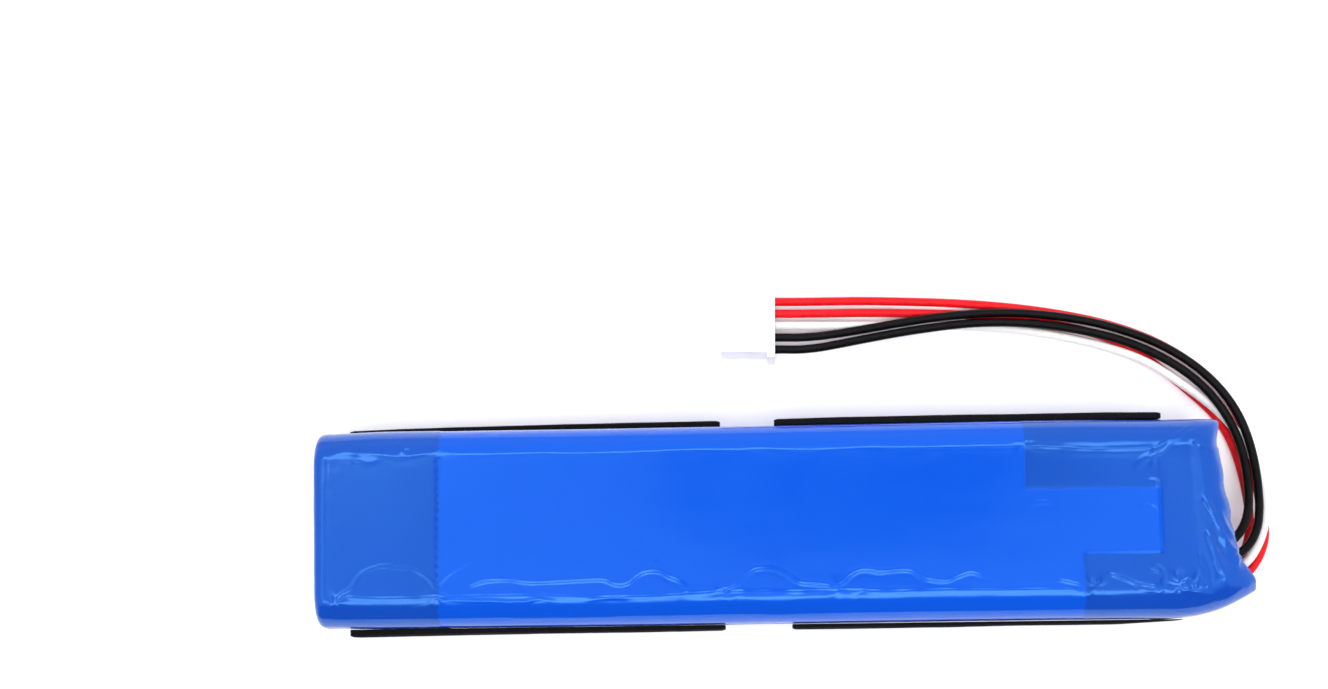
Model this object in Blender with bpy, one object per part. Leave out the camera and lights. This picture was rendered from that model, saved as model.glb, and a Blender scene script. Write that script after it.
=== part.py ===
"""Two-cell lithium pouch battery pack.

Two pouch cells lie one on the other, joined in series through a small protection board that stands
across their tabs.  A shrunk PVC sleeve holds the stack, four foam strips are stuck to its long
sides, and five leads run from the board to a five-way plug with a 2.0 mm pitch.

Frame: metres, +Z up.  The pack lies flat with its length along X and the leads leaving at +X.
The origin is at the middle of the pack's underside.  Lengths below are in millimetres.
"""
import bpy
import bmesh
import math
from mathutils import Matrix, Vector

MM = 0.001

# ---------------------------------------------------------------- driving dimensions (mm)
PACK_L = 144.0            # sleeve, folded end to the tip of the open end
PACK_W = 30.3             # sleeve across its straight sides
PACK_H = 19.2             # sleeve, underside to top
SHOULDER_W = 3.65         # how far the rounded shoulder reaches in from the side
SIDE_RATIO = 0.53         # straight part of the side, as a share of the height
FILM_T = 0.25             # sleeve film
TAPE_T = 0.10             # tapes under the film
TAPE_IN = 0.37            # sleeve's outer face to a tape's outer face

CELL_X0, CELL_X1 = -71.3, 57.4     # pouch body
TERRACE_X1 = 60.6                  # end of the pouch's top seal
CELL_W = 29.1
CELL_IN = 0.55                     # sleeve's outer face to the cell's outer face
LAMINATE_T = 0.15
CELL_GAP = 0.50                    # between the two cells, filled by the bonding tape
ROLL_X0, ROLL_X1 = -69.6, 53.4
ROLL_TURNS = 2.0
ROLL_PITCH = 1.32
ANODE_T, CATHODE_T, SEPARATOR_T = 0.36, 0.36, 0.14

BOARD_X0, BOARD_T = 61.75, 1.0
BOARD_W, BOARD_H = 26.0, 13.4
LEG_X0, LEG_T = 61.2, 0.2          # upright legs of the cell tabs

TAIL_X0 = 58.0                     # where the sleeve starts to close in at the open end
FOAM_T, FOAM_H = 1.2, 9.6
FOAM_GAP = 0.12

WIRE_D = 1.36
PLUG_PITCH = 2.0
PLUG_WAYS = 5
PLUG_LEN, PLUG_W, PLUG_T = 8.6, 10.0, 4.5
COLLAR_LEN, COLLAR_W, COLLAR_T = 1.2, 11.8, 4.8
PLUG_POS = (-0.35, 32.35, 3.32)     # middle of the collar's rear face
PLUG_ROLL, PLUG_YAW = -9.0, -1.0   # the plug leans on one long edge, held by its stiff leads

MID = PACK_H / 2.0
HALF_W = PACK_W / 2.0
X_END = -PACK_L / 2.0
X_TIP = PACK_L / 2.0


# ---------------------------------------------------------------- scene and materials
for old in list(bpy.data.objects):
    bpy.data.objects.remove(old, do_unlink=True)


def material(name, rgb, rough, metal=0.0, alpha=1.0):
    mat = bpy.data.materials.new(name)
    mat.use_nodes = True
    bsdf = mat.node_tree.nodes["Principled BSDF"]
    bsdf.inputs["Base Color"].default_value = (rgb[0], rgb[1], rgb[2], 1.0)
    bsdf.inputs["Roughness"].default_value = rough
    bsdf.inputs["Metallic"].default_value = metal
    bsdf.inputs["Alpha"].default_value = alpha
    mat.diffuse_color = (rgb[0], rgb[1], rgb[2], alpha)
    return mat


FILM = material("shrink_film", (0.018, 0.13, 0.80), 0.28)
TAPE = material("kapton_like_tape", (0.16, 0.17, 0.20), 0.45)
FOAM = material("foam", (0.007, 0.007, 0.008), 0.9)
BOND = material("bonding_tape", (0.82, 0.82, 0.78), 0.7)
LAMINATE = material("pouch_laminate", (0.62, 0.63, 0.65), 0.32, 1.0)
COPPER = material("anode_foil", (0.10, 0.10, 0.11), 0.7)
CATHODE = material("cathode_foil", (0.05, 0.05, 0.055), 0.75)
SEPARATOR = material("separator", (0.88, 0.88, 0.86), 0.6)
ALU_TAB = material("aluminium_tab", (0.80, 0.81, 0.82), 0.35, 1.0)
NICKEL = material("nickel", (0.62, 0.59, 0.53), 0.3, 1.0)
SEAL = material("tab_sealant", (0.75, 0.74, 0.68), 0.5)
GREEN_TAPE = material("termination_tape", (0.05, 0.30, 0.10), 0.4)
BOARD = material("board_laminate", (0.01, 0.11, 0.04), 0.4)
CHIP = material("chip_moulding", (0.018, 0.018, 0.02), 0.5)
CERAMIC = material("chip_ceramic", (0.45, 0.33, 0.20), 0.5)
FUSE = material("fuse_body", (0.80, 0.79, 0.72), 0.5)
PAPER = material("insulation_paper", (0.60, 0.46, 0.20), 0.85)
RED = material("red_insulation", (0.78, 0.012, 0.02), 0.38)
BLACK = material("black_insulation", (0.012, 0.012, 0.013), 0.42)
WHITE = material("white_insulation", (0.80, 0.79, 0.76), 0.42)
TIN = material("tinned_contact", (0.72, 0.72, 0.70), 0.3, 1.0)
NYLON = material("white_nylon", (0.86, 0.85, 0.82), 0.45)


# ---------------------------------------------------------------- helpers
def add_object(name, mesh, mat):
    obj = bpy.data.objects.new(name, mesh)
    bpy.context.scene.collection.objects.link(obj)
    mesh.materials.append(mat)
    return obj


def mesh_from(name, verts_mm, faces, weld=False):
    mesh = bpy.data.meshes.new(name)
    mesh.from_pydata([Vector(v) * MM for v in verts_mm], [], faces)
    bm = bmesh.new()
    bm.from_mesh(mesh)
    if weld:
        bmesh.ops.remove_doubles(bm, verts=bm.verts, dist=1e-6)
    bmesh.ops.recalc_face_normals(bm, faces=bm.faces)
    bm.to_mesh(mesh)
    bm.free()
    return mesh


def smooth(mesh, angle_deg=35.0):
    mesh.shade_smooth()
    mesh.set_sharp_from_angle(angle=math.radians(angle_deg))


def box(name, lo, hi, mat, bevel=0.0, segments=1):
    bm = bmesh.new()
    size = [hi[i] - lo[i] for i in range(3)]
    centre = [(hi[i] + lo[i]) / 2.0 for i in range(3)]
    bmesh.ops.create_cube(bm, size=1.0, matrix=Matrix.Diagonal((size[0] * MM, size[1] * MM, size[2] * MM, 1.0)))
    if bevel > 0:
        bmesh.ops.bevel(bm, geom=bm.edges[:], offset=bevel * MM, segments=segments, profile=0.5,
                        affect='EDGES', clamp_overlap=True)
    mesh = bpy.data.meshes.new(name)
    bm.to_mesh(mesh)
    bm.free()
    obj = add_object(name, mesh, mat)
    obj.location = Vector(centre) * MM
    return obj


def prism_x(name, outline_yz, x0, x1, mat):
    """A closed outline in YZ drawn out along X."""
    n = len(outline_yz)
    verts = [(x0, y, z) for y, z in outline_yz] + [(x1, y, z) for y, z in outline_yz]
    faces = [tuple(range(n)), tuple(range(2 * n - 1, n - 1, -1))]
    faces += [(i, (i + 1) % n, n + (i + 1) % n, n + i) for i in range(n)]
    return add_object(name, mesh_from(name, verts, faces), mat)


def prism_y(name, outline_xz, y0, y1, mat):
    """A closed outline in XZ drawn out along Y."""
    n = len(outline_xz)
    verts = [(x, y0, z) for x, z in outline_xz] + [(x, y1, z) for x, z in outline_xz]
    faces = [tuple(range(n)), tuple(range(2 * n - 1, n - 1, -1))]
    faces += [(i, (i + 1) % n, n + (i + 1) % n, n + i) for i in range(n)]
    return add_object(name, mesh_from(name, verts, faces), mat)


def solidify(obj, thickness_mm):
    mod = obj.modifiers.new("thickness", 'SOLIDIFY')
    mod.thickness = thickness_mm * MM
    mod.offset = -1.0
    mod.use_even_offset = True
    mod.use_rim = True
    return mod


def table(points, t):
    """Straight-line interpolation in a list of (t, value) pairs."""
    if t <= points[0][0]:
        return points[0][1]
    for (t0, v0), (t1, v1) in zip(points, points[1:]):
        if t <= t1:
            return v0 + (v1 - v0) * (t - t0) / (t1 - t0)
    return points[-1][1]


ARC_STEPS = 5


def section(w_plus, w_minus, z_top, z_bot):
    """The pack's cross-section: flat top and bottom, elliptical shoulders, straight sides.
    Goes round from the top's middle towards +Y; 32 points."""
    mid = (z_top + z_bot) / 2.0
    f_plus = w_plus - SHOULDER_W
    f_minus = -(w_minus - SHOULDER_W)
    zs_t = mid + (z_top - mid) * SIDE_RATIO
    zs_b = mid - (mid - z_bot) * SIDE_RATIO
    pts = [(0.0, z_top), (f_plus * 0.55, z_top), (f_plus, z_top)]
    for i in range(1, ARC_STEPS):
        a = math.pi / 2 * i / ARC_STEPS
        pts.append((f_plus + SHOULDER_W * math.sin(a), zs_t + (z_top - zs_t) * math.cos(a)))
    pts += [(w_plus, zs_t), (w_plus, mid), (w_plus, zs_b)]
    for i in range(ARC_STEPS - 1, 0, -1):
        a = math.pi / 2 * i / ARC_STEPS
        pts.append((f_plus + SHOULDER_W * math.sin(a), zs_b - (zs_b - z_bot) * math.cos(a)))
    pts += [(f_plus, z_bot), (f_plus * 0.55, z_bot), (0.0, z_bot), (f_minus * 0.55, z_bot), (f_minus, z_bot)]
    for i in range(1, ARC_STEPS):
        a = math.pi / 2 * i / ARC_STEPS
        pts.append((f_minus - SHOULDER_W * math.sin(a), zs_b - (zs_b - z_bot) * math.cos(a)))
    pts += [(-w_minus, zs_b), (-w_minus, mid), (-w_minus, zs_t)]
    for i in range(ARC_STEPS - 1, 0, -1):
        a = math.pi / 2 * i / ARC_STEPS
        pts.append((f_minus - SHOULDER_W * math.sin(a), zs_t + (z_top - zs_t) * math.cos(a)))
    pts += [(f_minus, z_top), (f_minus * 0.55, z_top)]
    return pts


# The open end: how far each part of the mouth reaches, from the straight corner at +Y to the
# drawn-out tip over the leads at -Y.
MOUTH_X = [(-11.2, 71.5), (-10.6, 72.0), (-9.4, 72.0), (-8.6, 71.3), (-6.3, 69.9), (-3.9, 69.1), (-0.3, 68.0),
           (2.1, 67.4), (4.5, 66.9), (8.2, 66.5), (10.6, 66.1), (14.2, 65.5)]
TAIL_TOP = [(0.0, 19.2), (0.3, 18.95), (0.55, 18.3), (0.75, 17.2), (0.9, 15.7), (1.0, 14.2)]
TAIL_BOT = [(0.0, 0.0), (0.3, 0.15), (0.55, 0.7), (0.75, 1.8), (0.9, 3.3), (1.0, 4.8)]


def tail_ring(s, inset):
    """Ring of the sleeve's open end: s = 0 where the tail starts, s = 1 at the mouth."""
    w_plus = HALF_W - 0.95 * s ** 2 - inset
    w_minus = HALF_W - 4.0 * s ** 2.2 - inset
    ring = section(w_plus, w_minus, table(TAIL_TOP, s) - inset, table(TAIL_BOT, s) + inset)
    last = section(HALF_W - 0.95, HALF_W - 4.0, 14.2, 4.8)
    out = []
    for (y, z), (ym, zm) in zip(ring, last):
        reach = table(MOUTH_X, ym)
        if zm < 9.5:
            reach -= 1.2 * (9.5 - zm) / 4.7
        out.append((TAIL_X0 + s * (reach - TAIL_X0), y, z))
    return out


def body_ring(x, inset):
    return [(x, y, z) for y, z in section(HALF_W - inset, HALF_W - inset, PACK_H - inset, inset)]


def rings_to_surface(name, rings, mat, cap_first=False):
    """A tube of rings, left as an open surface, with the first ring closed if asked."""
    n = len(rings[0])
    verts = [p for ring in rings for p in ring]
    faces = []
    for r in range(len(rings) - 1):
        for i in range(n):
            j = (i + 1) % n
            faces.append((r * n + i, r * n + j, (r + 1) * n + j, (r + 1) * n + i))
    if cap_first:
        faces.append(tuple(range(n)))
    mesh = bpy.data.meshes.new(name)
    mesh.from_pydata([Vector(v) * MM for v in verts], [], faces)
    bm = bmesh.new()
    bm.from_mesh(mesh)
    bmesh.ops.recalc_face_normals(bm, faces=bm.faces)
    # the surface faces outwards: its topmost face looks up
    top = max(bm.faces, key=lambda f: f.calc_center_median().z)
    if top.normal.z < 0:
        bmesh.ops.reverse_faces(bm, faces=bm.faces)
    bm.to_mesh(mesh)
    bm.free()
    return add_object(name, mesh, mat)


# ---------------------------------------------------------------- sleeve and what is under it
END_ROUND = [(0.0, 2.7, 6.2), (0.0, 2.7, 2.6), (0.2, 1.3, 1.3), (1.1, 0.35, 0.35), (3.2, 0.0, 0.0)]

sleeve_rings = [body_ring(X_END + dx, inset) for dx, _, inset in END_ROUND]
sleeve_rings += [body_ring(x, 0.0) for x in (-30.0, 14.0, TAIL_X0)]
sleeve_rings += [tail_ring(s, 0.0) for s in (0.3, 0.55, 0.75, 0.9, 1.0)]
sleeve = rings_to_surface("shrink_sleeve", sleeve_rings, FILM)
solidify(sleeve, FILM_T)
smooth(sleeve.data)

END_TAPE_X1 = -53.5
tape_rings = [body_ring(X_END + 0.38, TAPE_IN + 2.7), body_ring(X_END + 0.55, TAPE_IN + 1.4),
              body_ring(X_END + 1.4, TAPE_IN + 0.35), body_ring(X_END + 3.3, TAPE_IN),
              body_ring(END_TAPE_X1, TAPE_IN)]
left_tape = rings_to_surface("left_end_tape", tape_rings, TAPE, cap_first=True)
solidify(left_tape, TAPE_T)
smooth(left_tape.data)

right_tape = rings_to_surface("right_end_tape",
                              [body_ring(57.0, TAPE_IN)] + [tail_ring(s, TAPE_IN + 0.03) for s in (0.0, 0.3, 0.55, 0.72)],
                              TAPE)
solidify(right_tape, TAPE_T)
smooth(right_tape.data)


def patch_tape(name, x0, x1, y_edge, z_edge, side):
    """A short piece of tape that starts on the top face and goes over one shoulder."""
    full = section(HALF_W - TAPE_IN, HALF_W - TAPE_IN, PACK_H - TAPE_IN, TAPE_IN)
    line = [(y_edge, PACK_H - TAPE_IN)] + [p for p in full if p[0] > HALF_W - TAPE_IN - SHOULDER_W - 0.01 and p[1] > MID + 0.1]
    line.append((HALF_W - TAPE_IN, z_edge))
    verts = [(x0, side * y, z) for y, z in line] + [(x1, side * y, z) for y, z in line]
    n = len(line)
    faces = [(i, i + 1, n + i + 1, n + i) for i in range(n - 1)]
    mesh = bpy.data.meshes.new(name)
    mesh.from_pydata([Vector(v) * MM for v in verts], [], faces)
    bm = bmesh.new()
    bm.from_mesh(mesh)
    bmesh.ops.recalc_face_normals(bm, faces=bm.faces)
    top = max(bm.faces, key=lambda f: f.calc_center_median().z)
    if top.normal.z < 0:
        bmesh.ops.reverse_faces(bm, faces=bm.faces)
    bm.to_mesh(mesh)
    bm.free()
    obj = add_object(name, mesh, TAPE)
    solidify(obj, TAPE_T)
    smooth(obj.data)
    return obj


patch_tape("rear_patch_tape", 37.2, 56.6, 4.8, 8.0, 1.0)
patch_tape("front_patch_tape", 46.5, 56.6, 5.0, 8.0, -1.0)


# ---------------------------------------------------------------- foam strips on the long sides
def foam_strip(name, x0, x1, side, slant0=0.0, slant1=0.0):
    y_in = HALF_W + FOAM_GAP
    y_out = y_in + FOAM_T
    z0, z1 = MID - FOAM_H / 2.0, MID + FOAM_H / 2.0
    outline = [(x0, z0), (x1, z0), (x1 + slant1, z1), (x0 + slant0, z1)]
    obj = prism_y(name, outline, side * y_in, side * y_out, FOAM)
    return obj


foam_strip("foam_strip_rear_left", -67.7, -10.2, 1.0, 0.0, 0.6)
foam_strip("foam_strip_rear_right", -0.8, 58.2, 1.0)
foam_strip("foam_strip_front_left", -66.8, -8.9, -1.0, 0.5, 0.0)
foam_strip("foam_strip_front_right", 1.5, 60.6, -1.0, 0.0, -0.4)


# ---------------------------------------------------------------- pouch cells
CELL_T = (PACK_H - 2 * CELL_IN - CELL_GAP) / 2.0


def cell_z(depth, flip):
    """Height of a point at the given depth in from the cell's outer face."""
    return PACK_H - CELL_IN - depth if flip else CELL_IN + depth


def cup_line(inset):
    """Half of the pack's section, from one rim round the deep-drawn cup to the other rim."""
    w = CELL_W / 2.0 - inset
    f = w - SHOULDER_W + inset * 0.5
    rim = CELL_T - LAMINATE_T - 0.12
    mouth = CELL_T - 1.05
    shoulder = 4.15
    pts = [(w, rim), (w, mouth), (w, shoulder)]
    for i in range(4, 0, -1):
        a = math.pi / 2 * i / 5
        pts.append((f + (w - f) * math.sin(a), shoulder - (shoulder - inset) * math.cos(a)))
    pts.append((f, inset))
    pts += [(-y, d) for y, d in reversed(pts)]
    return pts


def pouch_cup(name, flip):
    stations = [(CELL_X0, 2.4), (CELL_X0 + 0.9, 0.9), (CELL_X0 + 2.4, 0.0), (CELL_X1 - 1.6, 0.0), (CELL_X1 - 0.5, 0.5), (CELL_X1, 1.4)]
    verts, faces = [], []
    for x, inset in stations:
        verts += [(x, y, cell_z(d, flip)) for y, d in cup_line(inset)]
    n = len(cup_line(0.0))
    for r in range(len(stations) - 1):
        faces += [(r * n + i, r * n + i + 1, (r + 1) * n + i + 1, (r + 1) * n + i) for i in range(n - 1)]
    faces.append(tuple(range(n)))
    base = (len(stations) - 1) * n
    faces.append(tuple(base + i for i in range(1, n - 1)))
    # top seal: the flange that runs forward from the front wall
    a, b = verts[base + 1], verts[base + n - 2]
    verts += [(TERRACE_X1, a[1], a[2]), (TERRACE_X1, b[1], b[2])]
    faces.append((base + 1, base + n - 2, len(verts) - 1, len(verts) - 2))
    mesh = bpy.data.meshes.new(name)
    mesh.from_pydata([Vector(v) * MM for v in verts], [], faces)
    bm = bmesh.new()
    bm.from_mesh(mesh)
    bmesh.ops.recalc_face_normals(bm, faces=bm.faces)
    # the back wall looks towards -X
    back = min(bm.faces, key=lambda f: f.calc_center_median().x)
    if back.normal.x > 0:
        bmesh.ops.reverse_faces(bm, faces=bm.faces)
    bm.to_mesh(mesh)
    bm.free()
    obj = add_object(name, mesh, LAMINATE)
    solidify(obj, LAMINATE_T)
    return obj


def pouch_cover(name, flip):
    """Flat sheet that closes the cup; it runs forward over the top seal."""
    w = CELL_W / 2.0
    d0, d1 = CELL_T - LAMINATE_T, CELL_T
    x0 = CELL_X0 + 0.2
    lo_z, hi_z = sorted((cell_z(d0, flip), cell_z(d1, flip)))
    outline = [(x0 + 1.2, -w), (CELL_X1, -w), (CELL_X1 + 0.8, -w + 1.0), (TERRACE_X1, -w + 1.0),
               (TERRACE_X1, w - 1.0), (CELL_X1 + 0.8, w - 1.0), (CELL_X1, w), (x0 + 1.2, w), (x0, w - 1.2), (x0, -w + 1.2)]
    n = len(outline)
    verts = [(x, y, lo_z) for x, y in outline] + [(x, y, hi_z) for x, y in outline]
    faces = [tuple(range(n)), tuple(range(2 * n - 1, n - 1, -1))]
    faces += [(i, (i + 1) % n, n + (i + 1) % n, n + i) for i in range(n)]
    return add_object(name, mesh_from(name, verts, faces), LAMINATE)


ROLL_DEPTH = CELL_T / 2.0 - 0.02
ROLL_CORE = 9.7


def wound_strip(name, start, thickness, flip, mat):
    """One strip of the flattened winding, drawn as a spiral round a flat core."""
    per_turn = 10
    steps = int(round(ROLL_TURNS * per_turn))
    angles = [-90.0, -45.0, 0.0, 45.0, 90.0, 90.0, 135.0, 180.0, 225.0, 270.0]

    def point(k, half):
        turn, i = divmod(k, per_turn)
        ang = math.radians(angles[i])
        frac = turn + (angles[i] + 90.0) / 360.0
        r = start + ROLL_PITCH * frac + half
        cy = ROLL_CORE if i < 5 else -ROLL_CORE
        return cy + r * math.cos(ang), ROLL_DEPTH + r * math.sin(ang)

    outer = [point(k, thickness / 2.0) for k in range(steps)]
    inner = [point(k, -thickness / 2.0) for k in range(steps)]
    outline = [(y, cell_z(d, flip)) for y, d in outer + inner[::-1]]
    return prism_x(name, outline, ROLL_X0, ROLL_X1, mat)


TAB_DEPTH = CELL_T - 0.62          # depth of the tab's inner face
TAB_W = 6.0


def tab(name, y, flip, mat):
    """Flat tab that leaves through the top seal, then turns to lie along the board."""
    rise = -1.0 if not flip else 1.0
    z_near, z_far = cell_z(TAB_DEPTH, flip), cell_z(TAB_DEPTH + LEG_T, flip)
    z_leg = cell_z(TAB_DEPTH - 3.4, flip)
    outline = [(ROLL_X1 + 0.4, z_far), (LEG_X0 + LEG_T, z_far), (LEG_X0 + LEG_T, z_leg), (LEG_X0, z_leg), (LEG_X0, z_near), (ROLL_X1 + 0.4, z_near)]
    return prism_y(name, outline, y - TAB_W / 2.0, y + TAB_W / 2.0, mat)


def tab_seal(name, y, flip):
    """Sealant sleeve round the tab where it passes through the top seal."""
    x0, x1 = CELL_X1 + 0.4, TERRACE_X1 - 0.3
    hy, hd = TAB_W / 2.0 + 0.9, 0.06
    c = TAB_DEPTH + LEG_T / 2.0
    outer = [(y - hy, c - LEG_T / 2 - hd - 0.09), (y + hy, c - LEG_T / 2 - hd - 0.09), (y + hy, c + LEG_T / 2 + hd + 0.09), (y - hy, c + LEG_T / 2 + hd + 0.09)]
    iy = TAB_W / 2.0 + 0.08
    inner = [(y - iy, c - LEG_T / 2 - hd), (y + iy, c - LEG_T / 2 - hd), (y + iy, c + LEG_T / 2 + hd), (y - iy, c + LEG_T / 2 + hd)]
    verts = []
    for x in (x0, x1):
        verts += [(x, yy, cell_z(d, flip)) for yy, d in outer]
        verts += [(x, yy, cell_z(d, flip)) for yy, d in inner]
    faces = []
    for i in range(4):
        j = (i + 1) % 4
        faces += [(i, j, 8 + j, 8 + i), (4 + i, 4 + j, 12 + j, 12 + i), (i, j, 4 + j, 4 + i), (8 + i, 8 + j, 12 + j, 12 + i)]
    return add_object(name, mesh_from(name, verts, faces), SEAL)


def build_cell(tag, flip, positive_y):
    pouch_cup("pouch_cup_" + tag, flip)
    pouch_cover("pouch_cover_" + tag, flip)
    wound_strip("anode_strip_" + tag, 0.24, ANODE_T, flip, COPPER)
    wound_strip("inner_separator_" + tag, 0.24 + 0.33, SEPARATOR_T, flip, SEPARATOR)
    wound_strip("cathode_strip_" + tag, 0.24 + 0.66, CATHODE_T, flip, CATHODE)
    wound_strip("outer_separator_" + tag, 0.24 + 0.99, SEPARATOR_T, flip, SEPARATOR)
    tab("positive_tab_" + tag, positive_y, flip, ALU_TAB)
    tab("negative_tab_" + tag, -positive_y, flip, NICKEL)
    tab_seal("positive_tab_seal_" + tag, positive_y, flip)
    tab_seal("negative_tab_seal_" + tag, -positive_y, flip)
    z = sorted((cell_z(0.20, flip), cell_z(0.28, flip)))
    box("termination_tape_" + tag, (-62.0, -7.0, z[0]), (46.0, 5.0, z[1]), GREEN_TAPE)


build_cell("lower", False, 7.0)
build_cell("upper", True, -7.0)

box("cell_bonding_tape", (-69.0, -13.2, MID - 0.14), (55.8, 13.2, MID + 0.14), BOND)
box("insulation_paper", (CELL_X1 + 0.5, -12.6, MID - 0.1), (TERRACE_X1 - 0.1, 12.6, MID + 0.1), PAPER)

# ---------------------------------------------------------------- protection board
BOARD_X1 = BOARD_X0 + BOARD_T
box("protection_board", (BOARD_X0, -BOARD_W / 2, MID - BOARD_H / 2), (BOARD_X1, BOARD_W / 2, MID + BOARD_H / 2), BOARD)

LINK_X0, LINK_T = LEG_X0 + LEG_T + 0.09, 0.15
box("series_link", (LINK_X0, 3.6, 5.0), (LINK_X0 + LINK_T, 10.4, 14.2), NICKEL)
box("negative_link", (LINK_X0, -10.4, 4.6), (LINK_X0 + LINK_T, -3.6, 8.7), NICKEL)
box("positive_link", (LINK_X0, -10.4, 10.5), (LINK_X0 + LINK_T, -3.6, 14.6), NICKEL)

F = BOARD_X1 + 0.1                 # component seating plane


def component(name, y, z, w, h, t, mat, bevel=0.08):
    box(name, (F, y - w / 2, z - h / 2), (F + t, y + w / 2, z + h / 2), mat, bevel)


component("switch_transistor_a", 8.6, 12.4, 4.4, 3.0, 1.0, CHIP, 0.1)
component("switch_transistor_b", 8.6, 7.0, 4.4, 3.0, 1.0, CHIP, 0.1)
component("protection_chip", 2.9, 9.7, 3.0, 1.7, 1.0, CHIP, 0.1)
component("sense_resistor", 2.9, 13.0, 3.2, 1.6, 0.6, CHIP)
component("filter_capacitor", 2.9, 6.4, 2.0, 1.25, 0.8, CERAMIC)
component("temperature_sensor", -1.0, 13.6, 1.6, 0.8, 0.6, CERAMIC)
component("board_fuse", -0.9, 5.2, 3.2, 1.6, 0.7, FUSE)

# ---------------------------------------------------------------- plug
plug_matrix = (Matrix.Translation(Vector(PLUG_POS)) @ Matrix.Rotation(math.radians(PLUG_YAW), 4, 'Z')
               @ Matrix.Rotation(math.radians(PLUG_ROLL), 4, 'X'))


def plug_point(x, y, z=0.0):
    """Plug frame (mm; +X towards the leads, Y across the ways) to the pack's frame."""
    return tuple(plug_matrix @ Vector((x, y, z)))


def bm_box(bm, lo, hi):
    size = [(hi[i] - lo[i]) * MM for i in range(3)]
    centre = [(hi[i] + lo[i]) / 2.0 * MM for i in range(3)]
    bmesh.ops.create_cube(bm, size=1.0, matrix=Matrix.Translation(Vector(centre)) @ Matrix.Diagonal((size[0], size[1], size[2], 1.0)))


def way_y(i):
    return (PLUG_WAYS - 1) / 2.0 * PLUG_PITCH - i * PLUG_PITCH


def plug_frame():
    return (Matrix.Translation(Vector(PLUG_POS) * MM) @ Matrix.Rotation(math.radians(PLUG_YAW), 4, 'Z')
            @ Matrix.Rotation(math.radians(PLUG_ROLL), 4, 'X'))


def build_plug():
    # body and collar as one stepped block
    hw, ht = PLUG_W / 2, PLUG_T / 2
    cw, ct = COLLAR_W / 2, COLLAR_T / 2
    ring = lambda x, y, z: [(x, -y, -z), (x, y, -z), (x, y, z), (x, -y, z)]
    rings = [ring(-PLUG_LEN, hw - 0.25, ht - 0.2), ring(-PLUG_LEN + 0.3, hw, ht), ring(-COLLAR_LEN, hw, ht), ring(-COLLAR_LEN, cw, ct), ring(0.0, cw, ct)]
    verts = [p for r in rings for p in r]
    faces = [(0, 1, 2, 3), (19, 18, 17, 16)]
    for r in range(4):
        faces += [(r * 4 + i, r * 4 + (i + 1) % 4, (r + 1) * 4 + (i + 1) % 4, (r + 1) * 4 + i) for i in range(4)]
    body = add_object("plug_housing", mesh_from("plug_housing", verts, faces), NYLON)
    # five ways right through, a latch window under each, and one key recess on top
    bm = bmesh.new()
    for i in range(PLUG_WAYS):
        y = way_y(i)
        bm_box(bm, (-PLUG_LEN - 1.0, y - 0.75, -1.15), (1.0, y + 0.75, 1.15))
    mesh = bpy.data.meshes.new("plug_ways_cutter")
    bm.to_mesh(mesh)
    bm.free()
    ways = add_object("plug_ways_cutter", mesh, NYLON)
    bm = bmesh.new()
    for i in range(PLUG_WAYS):
        y = way_y(i)
        bm_box(bm, (-5.4, y - 0.5, -PLUG_T), (-3.2, y + 0.5, 0.0))
    bm_box(bm, (-6.9, -2.0, PLUG_T / 2 - 0.45), (-4.6, -0.6, PLUG_T))
    mesh = bpy.data.meshes.new("plug_window_cutter")
    bm.to_mesh(mesh)
    bm.free()
    windows = add_object("plug_window_cutter", mesh, NYLON)
    for cutter in (ways, windows):
        cutter.hide_render = True
        cutter.display_type = 'WIRE'
        cutter.matrix_world = plug_frame()
        mod = body.modifiers.new("cut_" + cutter.name, 'BOOLEAN')
        mod.operation = 'DIFFERENCE'
        mod.solver = 'EXACT'
        mod.object = cutter
    body.matrix_world = plug_frame()
    return body


build_plug()


def terminal(name, i):
    """Crimped contact: an open-fronted receptacle with its barrel behind it."""
    bm = bmesh.new()
    bm_box(bm, (-7.8, -0.55, -0.85), (-4.2, 0.55, 0.85))
    bm.faces.ensure_lookup_table()
    front = min(bm.faces, key=lambda f: f.calc_center_median().x)
    rear = max(bm.faces, key=lambda f: f.calc_center_median().x)
    bmesh.ops.inset_individual(bm, faces=[front], thickness=0.18 * MM)
    out = bmesh.ops.extrude_discrete_faces(bm, faces=[front])
    bmesh.ops.translate(bm, verts=list(out["faces"][0].verts), vec=Vector((3.0 * MM, 0, 0)))
    bmesh.ops.inset_individual(bm, faces=[rear], thickness=0.12 * MM)
    out = bmesh.ops.extrude_discrete_faces(bm, faces=[rear])
    bmesh.ops.translate(bm, verts=list(out["faces"][0].verts), vec=Vector((1.6 * MM, 0, 0)))
    bmesh.ops.remove_doubles(bm, verts=bm.verts, dist=1e-7)
    bmesh.ops.recalc_face_normals(bm, faces=bm.faces)
    mesh = bpy.data.meshes.new(name)
    bm.to_mesh(mesh)
    bm.free()
    obj = add_object(name, mesh, TIN)
    obj.matrix_world = plug_frame() @ Matrix.Translation(Vector((0, way_y(i) * MM, 0)))
    return obj


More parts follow.
